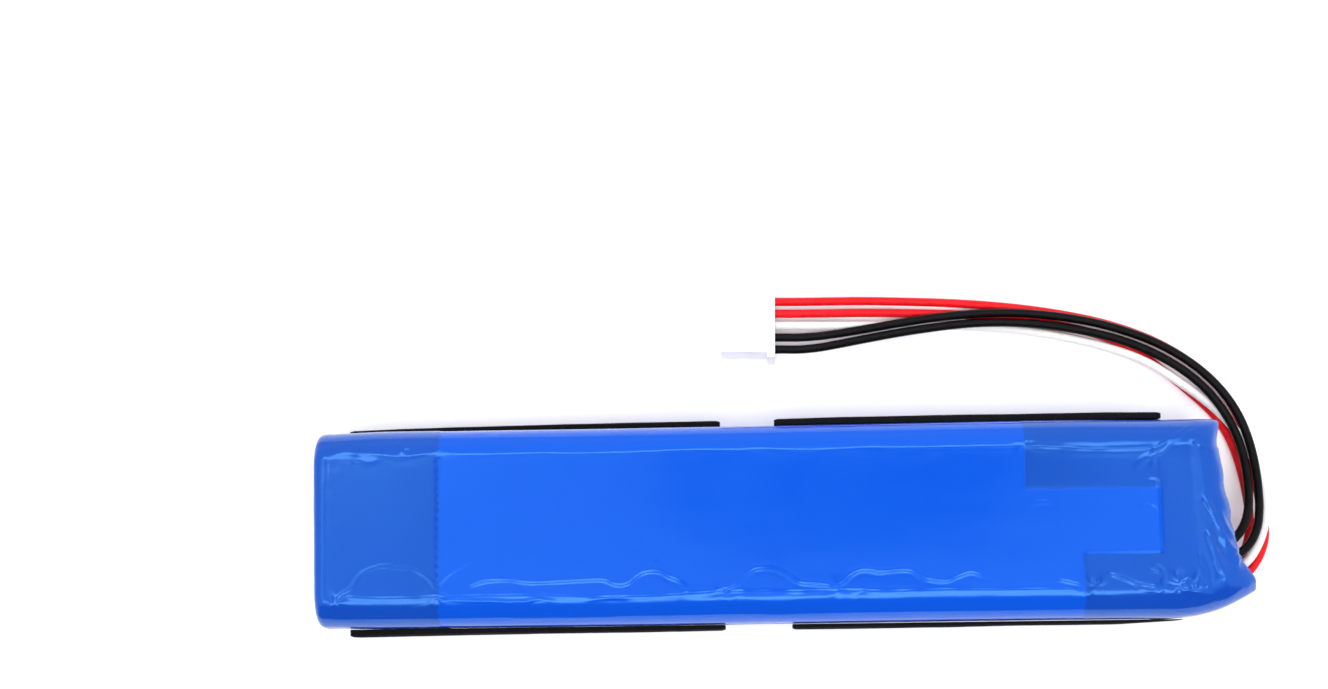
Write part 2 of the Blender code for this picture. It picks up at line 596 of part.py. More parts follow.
# ---------------------------------------------------------------- leads
LEADS = [
    # name, way, material, route from the board to near the plug (mm)
    ("positive_lead_a", 1, RED,
     [(63.05, -8.0, 8.0), (64.7, -8.0, 8.0), (66.4, -7.9, 8.0), (68.3, -7.4, 8.0), (70.1, -6.4, 7.8), (71.5, -4.8, 7.4),
      (72.4, -2.6, 6.7), (72.8, -0.1, 5.8), (72.9, 2.6, 4.6), (72.8, 5.4, 3.3), (72.5, 8.6, 2.0), (71.7, 12.2, 1.1), (70.2, 15.6, 0.72),
      (68.0, 18.4, 0.7), (65.2, 20.9, 0.7), (62.2, 23.6, 0.7), (59.3, 26.0, 0.7), (56.2, 28.1, 0.7), (52.6, 29.8, 0.7),
      (48.2, 31.3, 0.7), (43.0, 32.3, 0.7), (37.0, 33.2, 0.7), (31.0, 33.9, 0.7), (25.0, 34.2, 0.7), (19.5, 34.35, 0.95), (13.8, 34.4, 1.75)]),
    ("positive_lead_b", 0, RED,
     [(63.05, -10.2, 8.0), (65.0, -10.2, 8.0), (67.0, -10.2, 8.0), (69.4, -9.8, 8.0), (71.8, -8.3, 7.8), (73.6, -6.0, 7.3),
      (74.8, -3.4, 6.5), (75.2, -0.6, 5.4), (74.9, 2.4, 4.1), (74.6, 5.8, 2.7), (74.5, 9.2, 1.4), (74.1, 12.8, 0.8),
      (73.0, 16.6, 0.7), (71.2, 20.0, 0.7), (68.6, 23.2, 0.7), (65.2, 26.0, 0.7), (61.2, 28.6, 0.7), (56.6, 30.7, 0.7),
      (51.4, 32.4, 0.7), (45.6, 33.7, 0.7), (39.6, 34.7, 0.7), (33.6, 35.4, 0.7), (27.6, 35.9, 0.7), (21.0, 36.2, 0.75), (14.0, 36.4, 1.4)]),
    ("sense_lead", 2, WHITE,
     [(63.05, -8.6, 10.2), (64.8, -8.6, 10.2), (66.6, -8.6, 10.2), (68.8, -8.3, 10.1), (71.0, -7.0, 9.6), (72.8, -4.9, 8.9),
      (74.2, -2.3, 7.9), (75.2, 0.8, 6.5), (75.5, 4.2, 5.0), (75.2, 7.6, 3.7), (74.0, 11.0, 2.7), (72.3, 14.0, 2.25),
      (70.2, 16.7, 2.15), (67.4, 19.3, 2.15), (64.3, 21.7, 2.15), (61.2, 23.9, 2.15), (58.2, 25.8, 2.15), (55.0, 27.2, 1.75),
      (51.4, 28.5, 1.1), (47.2, 29.7, 0.72), (42.0, 30.8, 0.7), (36.0, 31.6, 0.7), (29.5, 32.1, 0.7), (22.5, 32.35, 0.7), (15.5, 32.4, 1.15)]),
    ("negative_lead_a", 3, BLACK,
     [(63.05, -6.4, 11.9), (64.8, -6.4, 11.9), (66.6, -6.4, 11.9), (68.6, -6.1, 11.8), (70.6, -5.0, 11.4), (72.2, -3.2, 10.6),
      (73.35, -0.8, 9.4), (73.95, 2.2, 7.9), (74.15, 5.6, 6.5), (74.05, 9.2, 5.4), (73.5, 12.8, 4.6), (72.4, 16.4, 4.0),
      (70.6, 19.8, 3.5), (68.0, 23.0, 3.0), (64.8, 25.8, 2.55), (61.0, 28.25, 2.25), (56.6, 30.2, 2.15), (51.4, 31.9, 2.15),
      (45.4, 33.1, 2.15), (38.8, 33.9, 2.15), (32.2, 33.9, 2.15), (25.8, 33.4, 2.3), (19.6, 32.5, 2.7), (13.4, 31.4, 3.2), (8.2, 30.6, 3.55)]),
    ("negative_lead_b", 4, BLACK,
     [(63.05, -4.9, 11.9), (64.5, -4.9, 11.9), (66.0, -4.8, 11.9), (67.7, -4.2, 11.8), (69.3, -3.1, 11.4), (70.7, -1.5, 10.7),
      (71.75, 0.6, 9.5), (72.35, 3.1, 8.0), (72.6, 6.2, 6.55), (72.5, 9.4, 5.4), (71.95, 12.6, 4.65), (70.8, 15.8, 4.05),
      (69.1, 18.9, 3.5), (66.7, 21.9, 3.0), (63.7, 24.5, 2.55), (60.1, 26.8, 2.25), (55.8, 28.8, 2.15), (50.8, 30.3, 2.15),
      (44.9, 31.55, 2.15), (38.6, 32.3, 2.15), (32.0, 32.4, 2.15), (25.6, 31.8, 2.3), (19.2, 30.9, 2.7), (12.8, 29.7, 3.3), (7.6, 28.7, 3.9)]),
]


def b_spline(ctrl, per_span=12):
    """Uniform cubic B-spline that starts and ends on its first and last control points."""
    pts = [Vector(c) for c in ctrl]
    pts = [2 * pts[0] - pts[1]] + pts + [2 * pts[-1] - pts[-2]]
    out = []
    for k in range(len(pts) - 3):
        p0, p1, p2, p3 = pts[k:k + 4]
        for i in range(per_span):
            t = i / per_span
            out.append((p0 * (1 - t) ** 3 + p1 * (3 * t ** 3 - 6 * t ** 2 + 4)
                        + p2 * (-3 * t ** 3 + 3 * t ** 2 + 3 * t + 1) + p3 * t ** 3) / 6.0)
    p1, p2, p3 = pts[-3:]
    out.append((p1 + 4 * p2 + p3) / 6.0)
    return out


def resample(points, spacing):
    """Points at equal distances along a polyline."""
    lengths = [0.0]
    for a, b in zip(points, points[1:]):
        lengths.append(lengths[-1] + (b - a).length)
    n = max(2, int(round(lengths[-1] / spacing)))
    out, k = [], 0
    for i in range(n + 1):
        want = lengths[-1] * i / n
        while k < len(points) - 2 and lengths[k + 1] < want:
            k += 1
        span = lengths[k + 1] - lengths[k]
        t = 0.0 if span == 0 else (want - lengths[k]) / span
        out.append(points[k].lerp(points[k + 1], min(1.0, max(0.0, t))))
    return out, lengths[-1]


def lead_route(way, route):
    y = way_y(way)
    return [tuple(p) for p in route] + [plug_point(5.2, y), plug_point(3.4, y), plug_point(1.7, y), plug_point(0.0, y), plug_point(-2.1, y)]


def lead(name, way, mat, route):
    points, length = resample(b_spline(lead_route(way, route)), 3.1)
    curve = bpy.data.curves.new(name, 'CURVE')
    curve.dimensions = '3D'
    curve.bevel_depth = WIRE_D / 2.0 * MM
    curve.bevel_resolution = 2
    curve.use_fill_caps = True
    curve.resolution_u = 1
    curve.render_resolution_u = 0
    spline = curve.splines.new('POLY')
    spline.points.add(len(points) - 1)
    for sp, p in zip(spline.points, points):
        sp.co = (p.x * MM, p.y * MM, p.z * MM, 1.0)
    obj = bpy.data.objects.new(name, curve)
    bpy.context.scene.collection.objects.link(obj)
    curve.materials.append(mat)
    return length


for lead_name, lead_way, lead_mat, lead_points in LEADS:
    lead(lead_name, lead_way, lead_mat, lead_points)
    terminal(lead_name.replace("lead", "terminal"), lead_way)
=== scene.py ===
"""Looks of the two-cell pouch battery pack: shrink film with its creases, foam strips, leads and plug,
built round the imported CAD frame."""
import math
import bpy
import bmesh
import numpy as np
from mathutils import Matrix, Vector


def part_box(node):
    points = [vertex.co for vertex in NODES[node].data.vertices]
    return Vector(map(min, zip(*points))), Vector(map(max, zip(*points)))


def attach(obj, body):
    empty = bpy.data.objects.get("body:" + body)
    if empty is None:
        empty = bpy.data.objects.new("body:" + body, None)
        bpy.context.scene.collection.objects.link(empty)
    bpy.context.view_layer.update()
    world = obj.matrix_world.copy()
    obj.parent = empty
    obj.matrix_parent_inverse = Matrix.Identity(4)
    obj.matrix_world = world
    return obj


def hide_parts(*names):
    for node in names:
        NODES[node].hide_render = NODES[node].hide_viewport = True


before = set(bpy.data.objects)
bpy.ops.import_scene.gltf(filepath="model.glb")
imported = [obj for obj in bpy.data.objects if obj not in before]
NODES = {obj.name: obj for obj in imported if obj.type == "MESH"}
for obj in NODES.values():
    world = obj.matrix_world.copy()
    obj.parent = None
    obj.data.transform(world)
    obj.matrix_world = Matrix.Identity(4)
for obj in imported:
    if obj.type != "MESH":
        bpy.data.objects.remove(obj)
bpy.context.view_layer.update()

MM = 0.001
scene = bpy.context.scene


# =====================================================================================  node helpers
class Net:
    """Small wrapper that builds a node material."""

    def __init__(self, name):
        self.mat = bpy.data.materials.new(name)
        self.mat.use_nodes = True
        self.tree = self.mat.node_tree
        self.bsdf = self.tree.nodes["Principled BSDF"]
        self.out = self.tree.nodes["Material Output"]
        self._coord = None

    def node(self, kind, **inputs):
        n = self.tree.nodes.new(kind)
        for key, value in inputs.items():
            n.inputs[key.replace("_", " ")].default_value = value
        return n

    def link(self, a, b):
        self.tree.links.new(a, b)

    def coord(self):
        if self._coord is None:
            self._coord = self.tree.nodes.new("ShaderNodeTexCoord")
        return self._coord.outputs["Object"]

    def axis(self, i):
        if not hasattr(self, "_sep"):
            self._sep = self.tree.nodes.new("ShaderNodeSeparateXYZ")
            self.link(self.coord(), self._sep.inputs[0])
        return self._sep.outputs[i]

    def feed(self, value, socket):
        if isinstance(value, (int, float)):
            socket.default_value = value
        else:
            self.link(value, socket)

    def math(self, op, a, b=0.0, c=None, clamp=False):
        n = self.tree.nodes.new("ShaderNodeMath")
        n.operation = op
        n.use_clamp = clamp
        self.feed(a, n.inputs[0])
        self.feed(b, n.inputs[1])
        if c is not None:
            self.feed(c, n.inputs[2])
        return n.outputs[0]

    def step(self, value, lo, hi, out_lo=0.0, out_hi=1.0):
        n = self.tree.nodes.new("ShaderNodeMapRange")
        n.interpolation_type = 'SMOOTHSTEP'
        self.feed(value, n.inputs["Value"])
        n.inputs["From Min"].default_value = lo
        n.inputs["From Max"].default_value = hi
        n.inputs["To Min"].default_value = out_lo
        n.inputs["To Max"].default_value = out_hi
        return n.outputs["Result"]

    def noise(self, scale, detail=3.0, rough=0.55, stretch=None, distortion=0.0):
        n = self.tree.nodes.new("ShaderNodeTexNoise")
        n.inputs["Scale"].default_value = scale
        n.inputs["Detail"].default_value = detail
        n.inputs["Roughness"].default_value = rough
        n.inputs["Distortion"].default_value = distortion
        if stretch is None:
            self.link(self.coord(), n.inputs["Vector"])
        else:
            m = self.tree.nodes.new("ShaderNodeMapping")
            m.inputs["Scale"].default_value = stretch
            self.link(self.coord(), m.inputs["Vector"])
            self.link(m.outputs[0], n.inputs["Vector"])
        return n.outputs["Fac"]

    def voronoi(self, scale, feature='F1'):
        n = self.tree.nodes.new("ShaderNodeTexVoronoi")
        n.feature = feature
        n.inputs["Scale"].default_value = scale
        self.link(self.coord(), n.inputs["Vector"])
        return n.outputs["Distance"]

    def mix(self, fac, a, b):
        n = self.tree.nodes.new("ShaderNodeMix")
        n.data_type = 'RGBA'
        self.feed(fac, n.inputs[0])
        for value, socket in ((a, n.inputs[6]), (b, n.inputs[7])):
            if isinstance(value, tuple):
                socket.default_value = (value[0], value[1], value[2], 1.0)
            else:
                self.link(value, socket)
        return n.outputs[2]

    def bump(self, height, strength, distance, normal=None):
        n = self.tree.nodes.new("ShaderNodeBump")
        n.inputs["Strength"].default_value = strength
        n.inputs["Distance"].default_value = distance
        self.feed(height, n.inputs["Height"])
        if normal is not None:
            self.link(normal, n.inputs["Normal"])
        return n.outputs["Normal"]

    def set(self, **sockets):
        for key, value in sockets.items():
            name = {"base": "Base Color", "rough": "Roughness", "metal": "Metallic", "normal": "Normal", "spec": "Specular IOR Level",
                    "tint": "Specular Tint", "coat": "Coat Weight", "coat_rough": "Coat Roughness", "coat_normal": "Coat Normal", "ior": "IOR",
                    "sheen": "Sheen Weight", "sheen_rough": "Sheen Roughness", "sub": "Subsurface Weight", "sub_scale": "Subsurface Scale",
                    "aniso": "Anisotropic", "sub_radius": "Subsurface Radius"}[key]
            socket = self.bsdf.inputs[name]
            if isinstance(value, tuple):
                socket.default_value = (value[0], value[1], value[2], 1.0) if len(socket.default_value) == 4 else value
            elif isinstance(value, (int, float)):
                socket.default_value = value
            else:
                self.link(value, socket)
        return self


# =====================================================================================  materials
FILM_BLUE = (0.0005, 0.056, 0.475)
FILM_OVER_TAPE = (0.0030, 0.0415, 0.315)


def film_material():
    m = Net("blue_shrink_film")
    x, y, z = m.axis(0), m.axis(1), m.axis(2)
    wander = m.math('MULTIPLY', m.math('SUBTRACT', m.noise(330.0, 3.0), 0.5), 0.0007)
    xs = m.math('ADD', x, wander)
    ys = m.math('ADD', y, wander)
    # the tape at the folded end was torn off on a toothed edge
    saw = m.math('MULTIPLY', m.math('PINGPONG', m.math('ADD', y, m.math('MULTIPLY', wander, 2.2)), 0.0006), 0.55)
    left = m.step(m.math('ADD', xs, saw), -0.05212, -0.05200, 1.0, 0.0)
    right = m.step(xs, 0.05690, 0.05708)
    on_top = m.step(z, 0.0080, 0.0085)
    upper = m.math('MULTIPLY', m.math('MULTIPLY', m.step(xs, 0.03680, 0.03700), m.step(ys, 0.00435, 0.00455)), on_top)
    lower = m.math('MULTIPLY', m.math('MULTIPLY', m.step(xs, 0.04510, 0.04535), m.step(ys, -0.00560, -0.00535, 1.0, 0.0)), on_top)
    tape = m.math('MAXIMUM', m.math('MAXIMUM', left, right), m.math('MAXIMUM', upper, lower))
    # the tape shows a little less where the film stands off it
    tape = m.math('MULTIPLY', tape, m.step(m.noise(55.0, 2.0), 0.35, 0.65, 0.88, 1.0))
    cloud = m.noise(30.0, 3.0)
    blue = m.mix(m.step(cloud, 0.3, 0.7), FILM_BLUE, (FILM_BLUE[0] * 1.2, FILM_BLUE[1] * 1.06, FILM_BLUE[2] * 1.02))
    over = m.mix(m.step(cloud, 0.3, 0.7), FILM_OVER_TAPE, (FILM_OVER_TAPE[0] * 1.1, FILM_OVER_TAPE[1] * 1.05, FILM_OVER_TAPE[2] * 1.05))
    colour = m.mix(tape, blue, over)
    # painted shade: the colour is darkened down the sides, below the top, to stand in for the shade the sides fall into
    colour = m.mix(m.step(z, 0.0125, 0.0172, 0.42, 0.0), colour, (0.0004, 0.016, 0.17))
    rough = m.math('ADD', m.step(m.noise(45.0, 3.0), 0.3, 0.7, 0.14, 0.18), m.step(z, 0.0120, 0.0162, 0.34, 0.0))
    # dust specks under the film and its faint grain
    specks = m.step(m.voronoi(190.0), 0.03, 0.10, 1.0, 0.0)
    rare = m.step(m.noise(75.0, 2.0), 0.60, 0.66)
    fine = m.bump(m.noise(2600.0, 2.0), 0.02, 0.0002)
    normal = m.bump(m.math('MULTIPLY', specks, rare), 0.5, 0.00006, fine)
    coat_normal = m.bump(m.noise(300.0, 3.0, stretch=(0.5, 1.0, 1.0)), 0.018, 0.0003, normal)
    m.set(base=colour, rough=rough, spec=1.0, tint=(0.15, 0.56, 1.0), coat=0.08, coat_rough=0.05, normal=normal, coat_normal=coat_normal, ior=1.5)
    return m.mat


def foam_material():
    m = Net("black_foam")
    pores = m.voronoi(3600.0)
    fine = m.noise(5200.0, 2.0)
    colour = m.mix(m.step(pores, 0.15, 0.6), (0.0016, 0.0016, 0.0018), (0.0048, 0.0048, 0.0053))
    height = m.math('ADD', pores, m.math('MULTIPLY', fine, 0.4))
    m.set(base=colour, rough=m.step(fine, 0.2, 0.8, 0.82, 0.97), spec=0.12, normal=m.bump(height, 0.55, 0.00012))
    return m.mat


def insulation_material(name, base, dark, rough=0.36, spec=0.5, coat=0.10):
    m = Net(name)
    n1 = m.noise(900.0, 3.0)
    scuff = m.noise(3800.0, 2.0)
    colour = m.mix(m.step(n1, 0.35, 0.7), base, dark)
    m.set(base=colour, rough=m.step(scuff, 0.3, 0.7, rough - 0.05, rough + 0.08), spec=spec, coat=coat, coat_rough=0.22,
          normal=m.bump(m.math('ADD', n1, m.math('MULTIPLY', scuff, 0.3)), 0.10, 0.00012))
    return m.mat


def nylon_material():
    m = Net("white_nylon")
    n1 = m.noise(650.0, 3.0)
    grain = m.noise(9000.0, 2.0)
    colour = m.mix(m.step(n1, 0.3, 0.7), (0.93, 0.93, 0.92), (0.88, 0.88, 0.865))
    m.set(base=colour, rough=m.step(grain, 0.3, 0.7, 0.34, 0.46), spec=0.5, sub=0.12, sub_scale=0.0006, sub_radius=(1.0, 0.9, 0.8),
          normal=m.bump(grain, 0.05, 0.00005))
    return m.mat


def plastic_material(name, a, b, scale=500.0, rough=(0.4, 0.55), bump=0.1, spec=0.5, coat=0.0):
    m = Net(name)
    n1 = m.noise(scale, 3.0)
    grain = m.noise(scale * 9.0, 2.0)
    m.set(base=m.mix(m.step(n1, 0.3, 0.7), a, b), rough=m.step(grain, 0.3, 0.7, rough[0], rough[1]), spec=spec,
          normal=m.bump(grain, bump, 0.00008))
    if coat:
        m.set(coat=coat, coat_rough=0.1)
    return m.mat


def metal_material(name, a, b, rough=(0.22, 0.4), stretch=(1.0, 8.0, 1.0), scale=900.0):
    m = Net(name)
    brush = m.noise(scale, 4.0, stretch=stretch)
    m.set(base=m.mix(m.step(brush, 0.3, 0.7), a, b), metal=1.0, rough=m.step(brush, 0.25, 0.75, rough[0], rough[1]),
          normal=m.bump(brush, 0.12, 0.00005))
    return m.mat


def board_material():
    m = Net("solder_mask")
    x, y, z = m.axis(0), m.axis(1), m.axis(2)
    weave = m.math('ADD', m.math('PINGPONG', y, 0.0003), m.math('PINGPONG', z, 0.0003))
    traces = m.step(m.voronoi(420.0, 'DISTANCE_TO_EDGE'), 0.05, 0.09, 1.0, 0.0)
    base = m.mix(m.noise(300.0), (0.008, 0.10, 0.035), (0.010, 0.13, 0.045))
    colour = m.mix(m.math('MULTIPLY', traces, 0.55), base, (0.018, 0.20, 0.07))
    m.set(base=colour, rough=0.28, spec=0.5, coat=0.4, coat_rough=0.12,
          normal=m.bump(m.math('ADD', m.math('MULTIPLY', weave, 300.0), traces), 0.25, 0.00004))
    return m.mat


def paper_material():
    m = Net("insulating_paper")
    fibre = m.noise(1800.0, 5.0, stretch=(1.0, 0.3, 1.0))
    m.set(base=m.mix(m.step(fibre, 0.3, 0.7), (0.62, 0.47, 0.20), (0.50, 0.36, 0.14)), rough=0.85, normal=m.bump(fibre, 0.3, 0.00006))
    return m.mat


FILM = film_material()
FOAM = foam_material()
RED = insulation_material("red_insulation", (0.66, 0.006, 0.010), (0.53, 0.004, 0.008), 0.38, 0.16, 0.03)
BLACK = insulation_material("black_insulation", (0.0016, 0.0016, 0.0018), (0.0034, 0.0034, 0.0036), 0.36, 0.09, 0.02)
WHITE = insulation_material("white_insulation", (0.70, 0.685, 0.67), (0.64, 0.63, 0.615), 0.40, 0.35)
NYLON = nylon_material()
TAPE = plastic_material("dark_adhesive_tape", (0.12, 0.13, 0.16), (0.17, 0.18, 0.21), 240.0, (0.35, 0.5), 0.15, coat=0.2)
BOND = plastic_material("white_bonding_tape", (0.78, 0.78, 0.74), (0.70, 0.70, 0.66), 900.0, (0.7, 0.85), 0.4)
POUCH = metal_material("aluminium_laminate", (0.62, 0.63, 0.65), (0.70, 0.71, 0.73), (0.24, 0.36), (1.0, 3.0, 1.0), 300.0)
GRAPHITE = plastic_material("graphite_coating", (0.035, 0.035, 0.038), (0.055, 0.055, 0.06), 1500.0, (0.6, 0.8), 0.4)
OXIDE = plastic_material("oxide_coating", (0.02, 0.02, 0.023), (0.035, 0.033, 0.033), 1500.0, (0.65, 0.85), 0.4)
SEPARATOR = plastic_material("separator_film", (0.80, 0.80, 0.78), (0.88, 0.88, 0.86), 700.0, (0.45, 0.6), 0.1)
ALUMINIUM = metal_material("aluminium_tab", (0.82, 0.83, 0.85), (0.74, 0.75, 0.77))
NICKEL = metal_material("nickel_strip", (0.62, 0.59, 0.53), (0.70, 0.67, 0.60))
SEALANT = plastic_material("tab_sealant", (0.62, 0.60, 0.52), (0.72, 0.70, 0.63), 400.0, (0.4, 0.55), 0.1)
GREEN_TAPE = plastic_material("green_polyester_tape", (0.03, 0.26, 0.08), (0.045, 0.32, 0.11), 260.0, (0.25, 0.4), 0.08, coat=0.3)
MASK = board_material()
CHIP = plastic_material("chip_epoxy", (0.012, 0.012, 0.013), (0.02, 0.02, 0.021), 2500.0, (0.4, 0.6), 0.35)
CERAMIC = plastic_material("chip_ceramic", (0.36, 0.24, 0.13), (0.44, 0.31, 0.18), 1500.0, (0.35, 0.5), 0.1)
FUSE = plastic_material("white_ceramic", (0.72, 0.71, 0.64), (0.8, 0.79, 0.73), 1500.0, (0.35, 0.5), 0.1)
PAPER = paper_material()
TIN = metal_material("tinned_contact", (0.74, 0.74, 0.72), (0.64, 0.64, 0.62), (0.2, 0.36), (1.0, 5.0, 1.0), 1600.0)
SOLDER = metal_material("solder", (0.66, 0.66, 0.67), (0.74, 0.74, 0.75), (0.16, 0.3), (1.0, 1.0, 1.0), 1200.0)
COPPER = metal_material("tinned_strands", (0.78, 0.70, 0.60), (0.72, 0.55, 0.42), (0.25, 0.4), (1.0, 1.0, 1.0), 2500.0)

CAD_LOOKS = {
    "left_end_tape": TAPE, "right_end_tape": TAPE, "rear_patch_tape": TAPE, "front_patch_tape": TAPE, "cell_bonding_tape": BOND,
    "insulation_paper": PAPER, "protection_board": MASK, "series_link": NICKEL, "negative_link": NICKEL, "positive_link": NICKEL,
    "switch_transistor_a": CHIP, "switch_transistor_b": CHIP, "protection_chip": CHIP, "sense_resistor": CHIP, "filter_capacitor": CERAMIC,
    "temperature_sensor": CERAMIC, "board_fuse": FUSE,
}
for tag in ("lower", "upper"):
    CAD_LOOKS.update({"pouch_cup_" + tag: POUCH, "pouch_cover_" + tag: POUCH, "anode_strip_" + tag: GRAPHITE, "cathode_strip_" + tag: OXIDE,
                      "inner_separator_" + tag: SEPARATOR, "outer_separator_" + tag: SEPARATOR, "positive_tab_" + tag: ALUMINIUM,
                      "negative_tab_" + tag: NICKEL, "positive_tab_seal_" + tag: SEALANT, "negative_tab_seal_" + tag: SEALANT,
                      "termination_tape_" + tag: GREEN_TAPE})
for tag in ("positive_terminal_a", "positive_terminal_b", "sense_terminal", "negative_terminal_a", "negative_terminal_b"):
    CAD_LOOKS[tag] = TIN
for tag in ("positive_lead_a", "positive_lead_b"):
    CAD_LOOKS[tag] = RED
for tag in ("negative_lead_a", "negative_lead_b"):
    CAD_LOOKS[tag] = BLACK
CAD_LOOKS["sense_lead"] = WHITE
CAD_LOOKS["plug_housing"] = NYLON
CAD_LOOKS["shrink_sleeve"] = FILM
for tag in ("rear_left", "rear_right", "front_left", "front_right"):
    CAD_LOOKS["foam_strip_" + tag] = FOAM
for name, look in CAD_LOOKS.items():
    mesh = NODES[name].data
    mesh.materials.clear()
    mesh.materials.append(look)


# =====================================================================================  camera and light
cam_data = bpy.data.cameras.new("camera")
cam_data.sensor_fit = 'HORIZONTAL'
cam_data.sensor_width = 36.0
cam_data.lens = 59.18
cam_data.clip_start = 0.01
cam_data.clip_end = 20.0
cam_data.dof.use_dof = False
camera = bpy.data.objects.new("camera", cam_data)
scene.collection.objects.link(camera)
camera.matrix_world = (Matrix.Translation((-0.00053, -0.01934, 0.350)) @ Matrix.Rotation(0.0509, 4, 'Y')
                       @ Matrix.Rotation(0.1402, 4, 'X') @ Matrix.Rotation(-0.0123, 4, 'Z'))
scene.camera = camera
scene.view_settings.view_transform = 'Standard'


def build_world():
    world = bpy.data.worlds.new("studio")
    scene.world = world
    world.use_nodes = True
    tree = world.node_tree
    bg = tree.nodes["Background"]

    class W(Net):
        def __init__(self):
            self.tree = tree
            self._coord = None

        def coord(self):
            if self._coord is None:
                self._coord = tree.nodes.new("ShaderNodeTexCoord")
            return self._coord.outputs["Generated"]
    w = W()
    x, y, z = w.axis(0), w.axis(1), w.axis(2)
    up = w.math('MAXIMUM', z, 0.05)
    gx, gy = w.math('DIVIDE', x, up), w.math('DIVIDE', y, up)
    # pale room, darker in front of the pack
    level = w.step(y, -0.60, -0.42, 0.26, 1.20)
    # ring-shaped soft light high above the pack
    r = w.math('SQRT', w.math('ADD', w.math('MULTIPLY', gx, gx), w.math('MULTIPLY', gy, gy)))
    ring = w.math('MULTIPLY', w.step(r, 0.262, 0.285), w.step(r, 0.46, 0.54, 1.0, 0.0))
    # weaker at the two ends than along the sides
    ring = w.math('MULTIPLY', ring, w.math('MULTIPLY', w.step(gx, -0.34, -0.22, 0.15, 1.0), w.step(gx, 0.20, 0.31, 1.0, 0.10)))
    level = w.math('ADD', level, w.math('MULTIPLY', ring, RING_LEVEL))
    # dark board over the middle, where the picture is taken from
    card = w.step(gx, -0.056, -0.040)
    card = w.math('MULTIPLY', card, w.step(w.math('SUBTRACT', gx, w.math('MULTIPLY', w.math('SUBTRACT', gy, 0.065), 1.1)), 0.085, 0.118, 1.0, 0.0))
    card = w.math('MULTIPLY', card, w.step(w.math('ADD', w.math('MULTIPLY', gx, 0.371), w.math('MULTIPLY', gy, 0.929)), 0.022, 0.050))
    card = w.math('MULTIPLY', card, w.math('MULTIPLY', w.step(gy, 0.13, 0.19, 1.0, 0.0), w.step(z, 0.0, 0.1)))
    level = w.math('MULTIPLY', level, w.math('SUBTRACT', 1.0, w.math('MULTIPLY', card, 0.90)))
    bg.inputs["Color"].default_value = (0.945, 0.94, 1.0, 1.0)
    tree.links.new(level, bg.inputs["Strength"])


RING_LEVEL = 4.8
build_world()


def area_light(name, location, target, size, power, colour=(1.0, 1.0, 1.0)):
    data = bpy.data.lights.new(name, 'AREA')
    data.shape = 'RECTANGLE'
    data.size, data.size_y = size
    data.energy = power
    data.color = colour
    obj = bpy.data.objects.new(name, data)
    scene.collection.objects.link(obj)
    obj.location = location
    obj.rotation_euler = (Vector(target) - Vector(location)).to_track_quat('-Z', 'Y').to_euler()
    return obj


key = area_light("key", (0.05, -0.30, 1.10), (0, 0, 0), (0.60, 0.45), 7.4, (1.0, 0.985, 0.94))
key.visible_glossy = False


def build_floor():
    bm = bmesh.new()
    bmesh.ops.create_grid(bm, x_segments=8, y_segments=8, size=3.0)
    mesh = bpy.data.meshes.new("floor")
    bm.to_mesh(mesh)
    bm.free()
    floor = bpy.data.objects.new("floor", mesh)
    scene.collection.objects.link(floor)
    m = Net("white_sweep")
    m.set(base=m.mix(m.noise(60.0, 2.0), (0.905, 0.905, 0.92), (0.92, 0.92, 0.935)), rough=0.75, spec=0.25)
    mesh.materials.append(m.mat)
    floor.location.z = -0.00002


build_floor()


# =====================================================================================  smooth noise for shapes
def lattice_noise(u, v, seed):
    """Smooth value noise in -1..1 on a unit lattice."""
    rng = np.random.default_rng(seed)
    grid = rng.uniform(-1.0, 1.0, (256, 256))
    iu, iv = np.floor(u).astype(int), np.floor(v).astype(int)
    fu, fv = u - iu, v - iv
    fu, fv = fu * fu * fu * (fu * (fu * 6 - 15) + 10), fv * fv * fv * (fv * (fv * 6 - 15) + 10)
    a = grid[iu % 256, iv % 256]
    b = grid[(iu + 1) % 256, iv % 256]
    c = grid[iu % 256, (iv + 1) % 256]
    d = grid[(iu + 1) % 256, (iv + 1) % 256]
    return (a * (1 - fu) + b * fu) * (1 - fv) + (c * (1 - fu) + d * fu) * fv


def fbm(u, v, seed, octaves=3):
    total, amp, norm = 0.0, 1.0, 0.0
    for k in range(octaves):
        total = total + amp * lattice_noise(u * 2 ** k + 17.3 * k, v * 2 ** k + 5.1 * k, seed + k)
        norm += amp
        amp *= 0.5
    return total / norm


def smoothstep(x, a, b):
    t = np.clip((x - a) / (b - a), 0.0, 1.0)
    return t * t * (3 - 2 * t)


# =====================================================================================  shrink film
HALF_W, PACK_H = 15.15, 19.2
TAIL_X0 = 58.0
SHOULDER = 4.4
FLAT = HALF_W - SHOULDER
ROUND = 2.0 / 1.85
SIDE_RATIO = 0.53
MOUTH_X = np.array([(-11.2, 71.0), (-10.6, 71.1), (-9.4, 71.0), (-8.6, 70.4), (-6.3, 68.9), (-3.9, 68.1), (-0.3, 67.6),
                    (2.1, 67.2), (4.5, 66.75), (8.2, 66.35), (10.6, 66.1), (12.8, 66.2), (15.2, 66.7)])
TAIL_TOP = np.array([(0.0, 19.2), (0.45, 19.16), (0.66, 19.03), (0.80, 18.72), (0.90, 18.2), (0.96, 17.6), (1.0, 16.9)])
TAIL_BOT = np.array([(0.0, 0.0), (0.15, 0.04), (0.3, 0.15), (0.55, 0.7), (0.75, 1.8), (0.9, 3.3), (1.0, 4.8)])


def soft_interp(x, points, width):
    """Interpolation in a table, rounded off over a small width."""
    total = 0.0
    offsets = np.linspace(-1.0, 1.0, 7)
    weights = np.cos(offsets * math.pi / 2 * 0.9)
    for o, wt in zip(offsets, weights):
        total = total + wt * np.interp(x + o * width, points[:, 0], points[:, 1])
    return total / weights.sum()


